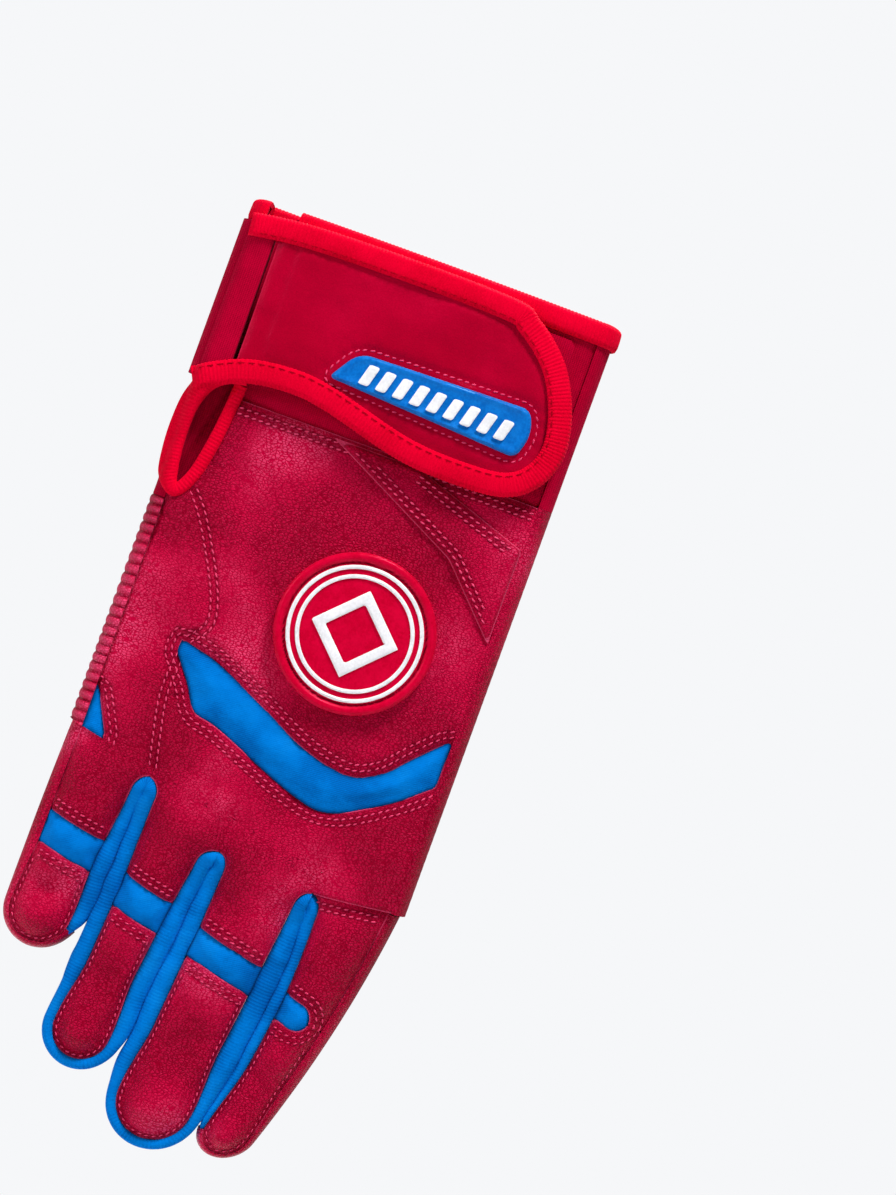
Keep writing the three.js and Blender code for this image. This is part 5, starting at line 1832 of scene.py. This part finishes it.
def grown(name, holder, tree, settings):
    """Runs a tree on a holder object, and keeps its result as a plain mesh."""
    modifier = holder.modifiers.new("tree", "NODES")
    modifier.node_group = tree
    for item in tree.interface.items_tree:
        if item.in_out == "INPUT" and item.name in settings:
            modifier[item.identifier] = settings[item.name]
    graph = bpy.context.evaluated_depsgraph_get()
    made = bpy.data.meshes.new_from_object(holder.evaluated_get(graph))
    made.name = name
    bpy.data.objects.remove(holder)
    piece = bpy.data.objects.new(name, made)
    bpy.context.collection.objects.link(piece)
    return piece


def facing_of(at, spots):
    """Outward normals of a surface, from how it runs across and along."""
    step = 0.2
    run_a = at(spots + [step, 0]) - at(spots - [step, 0])
    run_b = at(spots + [0, step]) - at(spots - [0, step])
    normal = np.cross(run_a, run_b)
    normal /= np.linalg.norm(normal, axis=1)[:, None]
    outward = np.sign(at(spots)[:, 1]) * np.sign(normal[:, 1])
    return normal * outward[:, None]


def held(name, spots, at, edges=()):
    """Points on a surface that know its outward normal, for a tree to grow things on."""
    mesh = bpy.data.meshes.new(name)
    mesh.from_pydata((at(spots) * MM).tolist(), list(edges), [])
    facing = mesh.attributes.new("facing", "FLOAT_VECTOR", "POINT")
    facing.data.foreach_set("vector", facing_of(at, spots).astype(np.float32).ravel())
    holder = bpy.data.objects.new(name, mesh)
    bpy.context.collection.objects.link(holder)
    return holder


def stitched(name, rows, at, pitch=1.9, length=1.45, width=0.5, slant=0.22, colour=None):
    """Rows are (line, closed) in across and along; at() puts spots on the surface."""
    spots, edges = [], []
    for line, closed in rows:
        line = resampled(line, 0.6, closed)
        first, count = len(spots), len(line)
        spots.extend(line)
        edges += [(first + k, first + (k + 1) % count) for k in range(count if closed else count - 1)]
    holder = held(name + "_path", np.array(spots), at, edges)
    return grown(name, holder, stitch_row, {
        "Pitch": pitch * MM, "Length": length * MM, "Width": width * MM, "Slant": slant,
        "Thread": colour or thread,
    })


# Threads lie just above the leather, in two rows beside a seam; gaps in millimetres
THREAD_LIFT = 0.02
SEAM_ROWS = (1.7, 3.2)


def on_hand(spots):
    return hand.point(spots, BACK, hand_lift(spots) + THREAD_LIFT)


def within_hand(line, closed, margin=0.6):
    """Every run of a line that stays on the hand's leather."""
    spots = resampled(line, 0.6, closed)
    good = (np.abs(spots[:, 0]) < PLATE - margin) & (spots[:, 1] < knuckle_at(spots[:, 0]) - margin)
    good &= spots[:, 1] > CUFF + margin
    if good.all():
        return [(spots, closed)]
    if closed:
        start = int(np.where(~good)[0][0])
        spots, good = np.roll(spots, -start, 0), np.roll(good, -start)
    runs, current = [], []
    for spot, fine in zip(spots, good):
        if fine:
            current.append(spot)
        elif current:
            runs.append(current)
            current = []
    if current:
        runs.append(current)
    return [(np.array(run), False) for run in runs if len(run) > 4]


def mark_rows(piece, rows, reach=0.6):
    """Darkens a piece's leather along its stitch rows."""
    spots = cut_spots[piece.name]
    gap = np.min([nearest(spots, np.asarray(line), closed)[0] for line, closed in rows], axis=0)
    set_value(piece, "stitched", np.exp(-((gap / reach) ** 2)))


seam_lines = [
    *((ring_offset(ring, gap), True) for ring in (insert_ring, wedge_ring) for gap in SEAM_ROWS),
    *((offset(seam, gap), False) for seam in (side_seam, corner_seam) for gap in (0.9, -0.9)),
    *((cuff_seam + [0, gap], False) for gap in SEAM_ROWS),
]
hand_rows = []
for line, closed in seam_lines:
    hand_rows += within_hand(line, closed)
mark_rows(back_leather, hand_rows)
hand_stitches = stitched("hand_back_stitches", hand_rows, on_hand)
rides(hand_stitches, "hand", "binding_tape")


def on_overlay(spots):
    return hand.point(spots, BACK, overlay_lift(spots, 9.0, 0) + THREAD_LIFT)


overlay_rows = []
for inset in (1.4, 2.9):
    line = ring_offset(overlay_ring, -inset)
    for run, closed in within_hand(line, True, 1.6 + inset):
        overlay_rows.append((run, closed))
mark_rows(overlay, overlay_rows)
overlay_stitches = stitched("overlay_stitches", overlay_rows, on_overlay)
rides(overlay_stitches, "hand", "binding_tape")


def on_strap_tape(spots):
    return hand.point(spots, BACK, np.full(len(spots), strap_top + SEAT + 0.98))


def on_strap(spots):
    return hand.point(spots, BACK, strap_lift(spots, 9.0, 0) + THREAD_LIFT)


# The strap's outline runs rightward along its top, so its inner side is on the left of travel
inner = ring_offset(strap_line, -3.35)
inner = resampled(inner[3:-3], 0.8)
tape_stitches = stitched(
    "strap_tape_stitches", [(inner, False)], on_strap_tape, 2.6, 1.9, 0.42, 0.0, dark_thread)
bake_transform(tape_stitches)
label_stitches = stitched("label_stitches", [(ring_offset(label_ring, 1.5), True)], on_strap)
rides(label_stitches, "strap", "binding_tape")


def cross_row(finger, row, margin=1.3):
    line = slanted(finger, row, 24)
    return line[np.abs(line[:, 0]) < float(finger.edge(row)) - margin]


def edge_row(finger, sign, first, last, inset=0.95):
    rows = np.linspace(first, last, 60)
    return np.stack([sign * (leather_half(finger, rows, sign) - inset), rows], 1)


def band_rows(finger, row, sign, offs=(1.6, 3.1)):
    """Stitch rows beside the band, above it (sign -1) or below it (sign 1)."""
    if finger.name != "index":
        return [(cross_row(finger, row + sign * off), False) for off in offs]
    rows = []
    for off in offs:
        line = offset(band_end(finger, band_line(finger, row)), -sign * off)
        rows.append((line[line[:, 0] > 1.3 - float(leather_half(finger, row, -1))], False))
    return rows


for finger, knuckled, lift, top, foot in finger_seams:
    start, end = finger.band
    at_root = lambda spots: knuckled.point(spots, BACK, lift(spots, None, None) + THREAD_LIFT)
    at_tip = lambda spots: finger.point(spots, BACK, lift(spots, None, None) + THREAD_LIFT)
    rows = band_rows(finger, start, -1)
    if finger.name == "index":
        base = finger.own(np.linspace(flap_foot, flap_corner, 20) * [1, -1])
        rows += [(base[2:-3] + [0, off], False) for off in SEAM_ROWS]
    mark_rows(backs[finger.name], rows)
    piece = stitched(f"{finger.name}_root_stitches", rows, at_root)
    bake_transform(piece)
    rows = band_rows(finger, end, 1)
    turn = np.linspace(-1.2, 1.2, 30)
    inset = finger.tip_half + TIP_COVER * finger.wall - 0.95
    cap = np.stack([inset * np.sin(turn), finger.cap + inset * np.cos(turn)], 1)
    rows.append((np.vstack([
        edge_row(finger, -1, end + 4, finger.cap - 0.5), cap,
        edge_row(finger, 1, finger.cap - 0.5, end + 4),
    ]), False))
    mark_rows(tips[finger.name], rows)
    piece = stitched(f"{finger.name}_tip_stitches", rows, at_tip, 1.8, 1.2, 0.42)
    rides(piece, finger.body, "binding_tape")

# Vents through the palm side of the fingers, across and along as shares of each finger
VENTS = {
    "pinky": [(-0.3, 0.62), (0.35, 0.66)],
    "ring": [(-0.3, 0.62), (0.35, 0.64)],
    "middle": [(-0.1, 0.3), (0.15, 0.42), (0.3, 0.72)],
    "index": [(-0.1, 0.24), (0.05, 0.34), (-0.15, 0.44), (-0.3, 0.53), (-0.25, 0.76), (0.3, 0.8)],
}
for seed, finger in enumerate(fingers.values()):
    on_palm = lambda spots: finger.point(
        spots, PALM, 0.35 + 0.25 * waves(spots, 12, 61 + seed) + THREAD_LIFT)
    spots = np.array(VENTS[finger.name]) * [finger.half, finger.length]
    piece = grown(f"{finger.name}_vents", held("vent_spots", spots, on_palm), vents, {
        "Radius": 0.85 * MM, "Lip": 0.24 * MM, "Inside": dark_hole, "Outside": palm_leather})
    rides(piece, finger.body, "grip_leather")


# Stitches of the palm's join, and round the thumb
def on_palm_heel(spots):
    gap = nearest(spots, heel_ring, True)[0]
    return hand.point(spots, PALM, palm_lift(spots, gap, None) + THREAD_LIFT)


across = np.linspace(-PLATE + 1, PLATE - 1, 90)
heel_rows = [(np.stack([across, np.full(90, row)], 1), False)
             for row in (palm_join - 1.6, palm_join - 3.1, CUFF + 2.2, CUFF + 3.7)]
heel_stitches = stitched("palm_heel_stitches", heel_rows, on_palm_heel)
rides(heel_stitches, "hand", "binding_tape")
mark_rows(heel, heel_rows)


def on_thumb(spots):
    return stall.point(spots, PALM, thumb_lift(spots, None, 0.0) + 0.1)


thumb_rows = [(offset(thumb_outline, way)[4:-4], False) for way in SEAM_ROWS]
thumb_stitches = stitched("thumb_stitches", thumb_rows, on_thumb)
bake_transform(thumb_stitches)
mark_rows(thumb_face, thumb_rows)

# Stage: a pale floor far below, a pale room and soft lamps
def plain(name, corners, colour):
    """A pale board that shows white to the camera."""
    finish = Finish(name, Roughness=0.9, Specular_IOR_Level=0.1)
    tone = finish.mix(finish.noise(finish.place(), 0.002) * 0.1, colour, (236, 236, 238))
    finish.paint(Base_Color=tone)
    path = finish.node("LightPath", out="Is Camera Ray")
    glow = finish.tree.nodes.new("ShaderNodeEmission")
    mixed = finish.tree.nodes.new("ShaderNodeMixShader")
    glow.inputs["Color"].default_value = rgba((250, 250, 252))
    finish.tree.links.new(path.socket, mixed.inputs[0])
    finish.tree.links.new(finish.shader.outputs[0], mixed.inputs[1])
    finish.tree.links.new(glow.outputs[0], mixed.inputs[2])
    output = finish.tree.nodes["Material Output"]
    finish.tree.links.new(mixed.outputs[0], output.inputs["Surface"])
    mesh = bpy.data.meshes.new(name)
    mesh.from_pydata(corners, [], [(0, 1, 2, 3)])
    mesh.materials.append(finish.material)
    board = bpy.data.objects.new(name, mesh)
    bpy.context.collection.objects.link(board)


FLOOR, WALL, WIDE = -0.62, 1.5, 3.0
plain("floor", [
    (-WIDE, -WIDE, FLOOR), (WIDE, -WIDE, FLOOR), (WIDE, WALL, FLOOR), (-WIDE, WALL, FLOOR),
], (240, 240, 242))

world = bpy.data.worlds.new("room")
bpy.context.scene.world = world
world.use_nodes = True
sky = world.node_tree.nodes["Background"]
sky.inputs["Color"].default_value = (1, 1, 1, 1)
sky.inputs["Strength"].default_value = 0.2
seen = world.node_tree.nodes.new("ShaderNodeBackground")
seen.inputs["Color"].default_value = rgba((246, 247, 249))
path = world.node_tree.nodes.new("ShaderNodeLightPath")
either = world.node_tree.nodes.new("ShaderNodeMixShader")
links = world.node_tree.links
links.new(path.outputs["Is Camera Ray"], either.inputs[0])
links.new(sky.outputs[0], either.inputs[1])
links.new(seen.outputs[0], either.inputs[2])
links.new(either.outputs[0], world.node_tree.nodes["World Output"].inputs["Surface"])


# In metres, where all the lamps point
GLOVE_MIDDLE = Vector((0, 0, -0.115))


def lamp(name, place, size, watts):
    light = bpy.data.lights.new(name, "AREA")
    light.shape, light.size, light.size_y = "RECTANGLE", size, size
    light.energy = watts
    thing = bpy.data.objects.new(name, light)
    bpy.context.collection.objects.link(thing)
    thing.location = place
    thing.rotation_mode = "QUATERNION"
    thing.rotation_quaternion = (Vector(place) - GLOVE_MIDDLE).to_track_quat("Z", "Y")
    return thing


lamp("key_lamp", (0.2, -0.55, 1.05), 0.3, 19)
lamp("side_lamp", (-1.0, -0.6, 0.15), 0.4, 5)
lamp("fill_lamp", (0.7, -0.95, -0.4), 0.9, 2)
lamp("rear_lamp", (0.2, 0.65, 1.0), 0.5, 14)
lamp("rear_fill_lamp", (-0.5, 1.1, -0.1), 0.8, 7).visible_glossy = False

bpy.context.scene.view_settings.view_transform = "Standard"
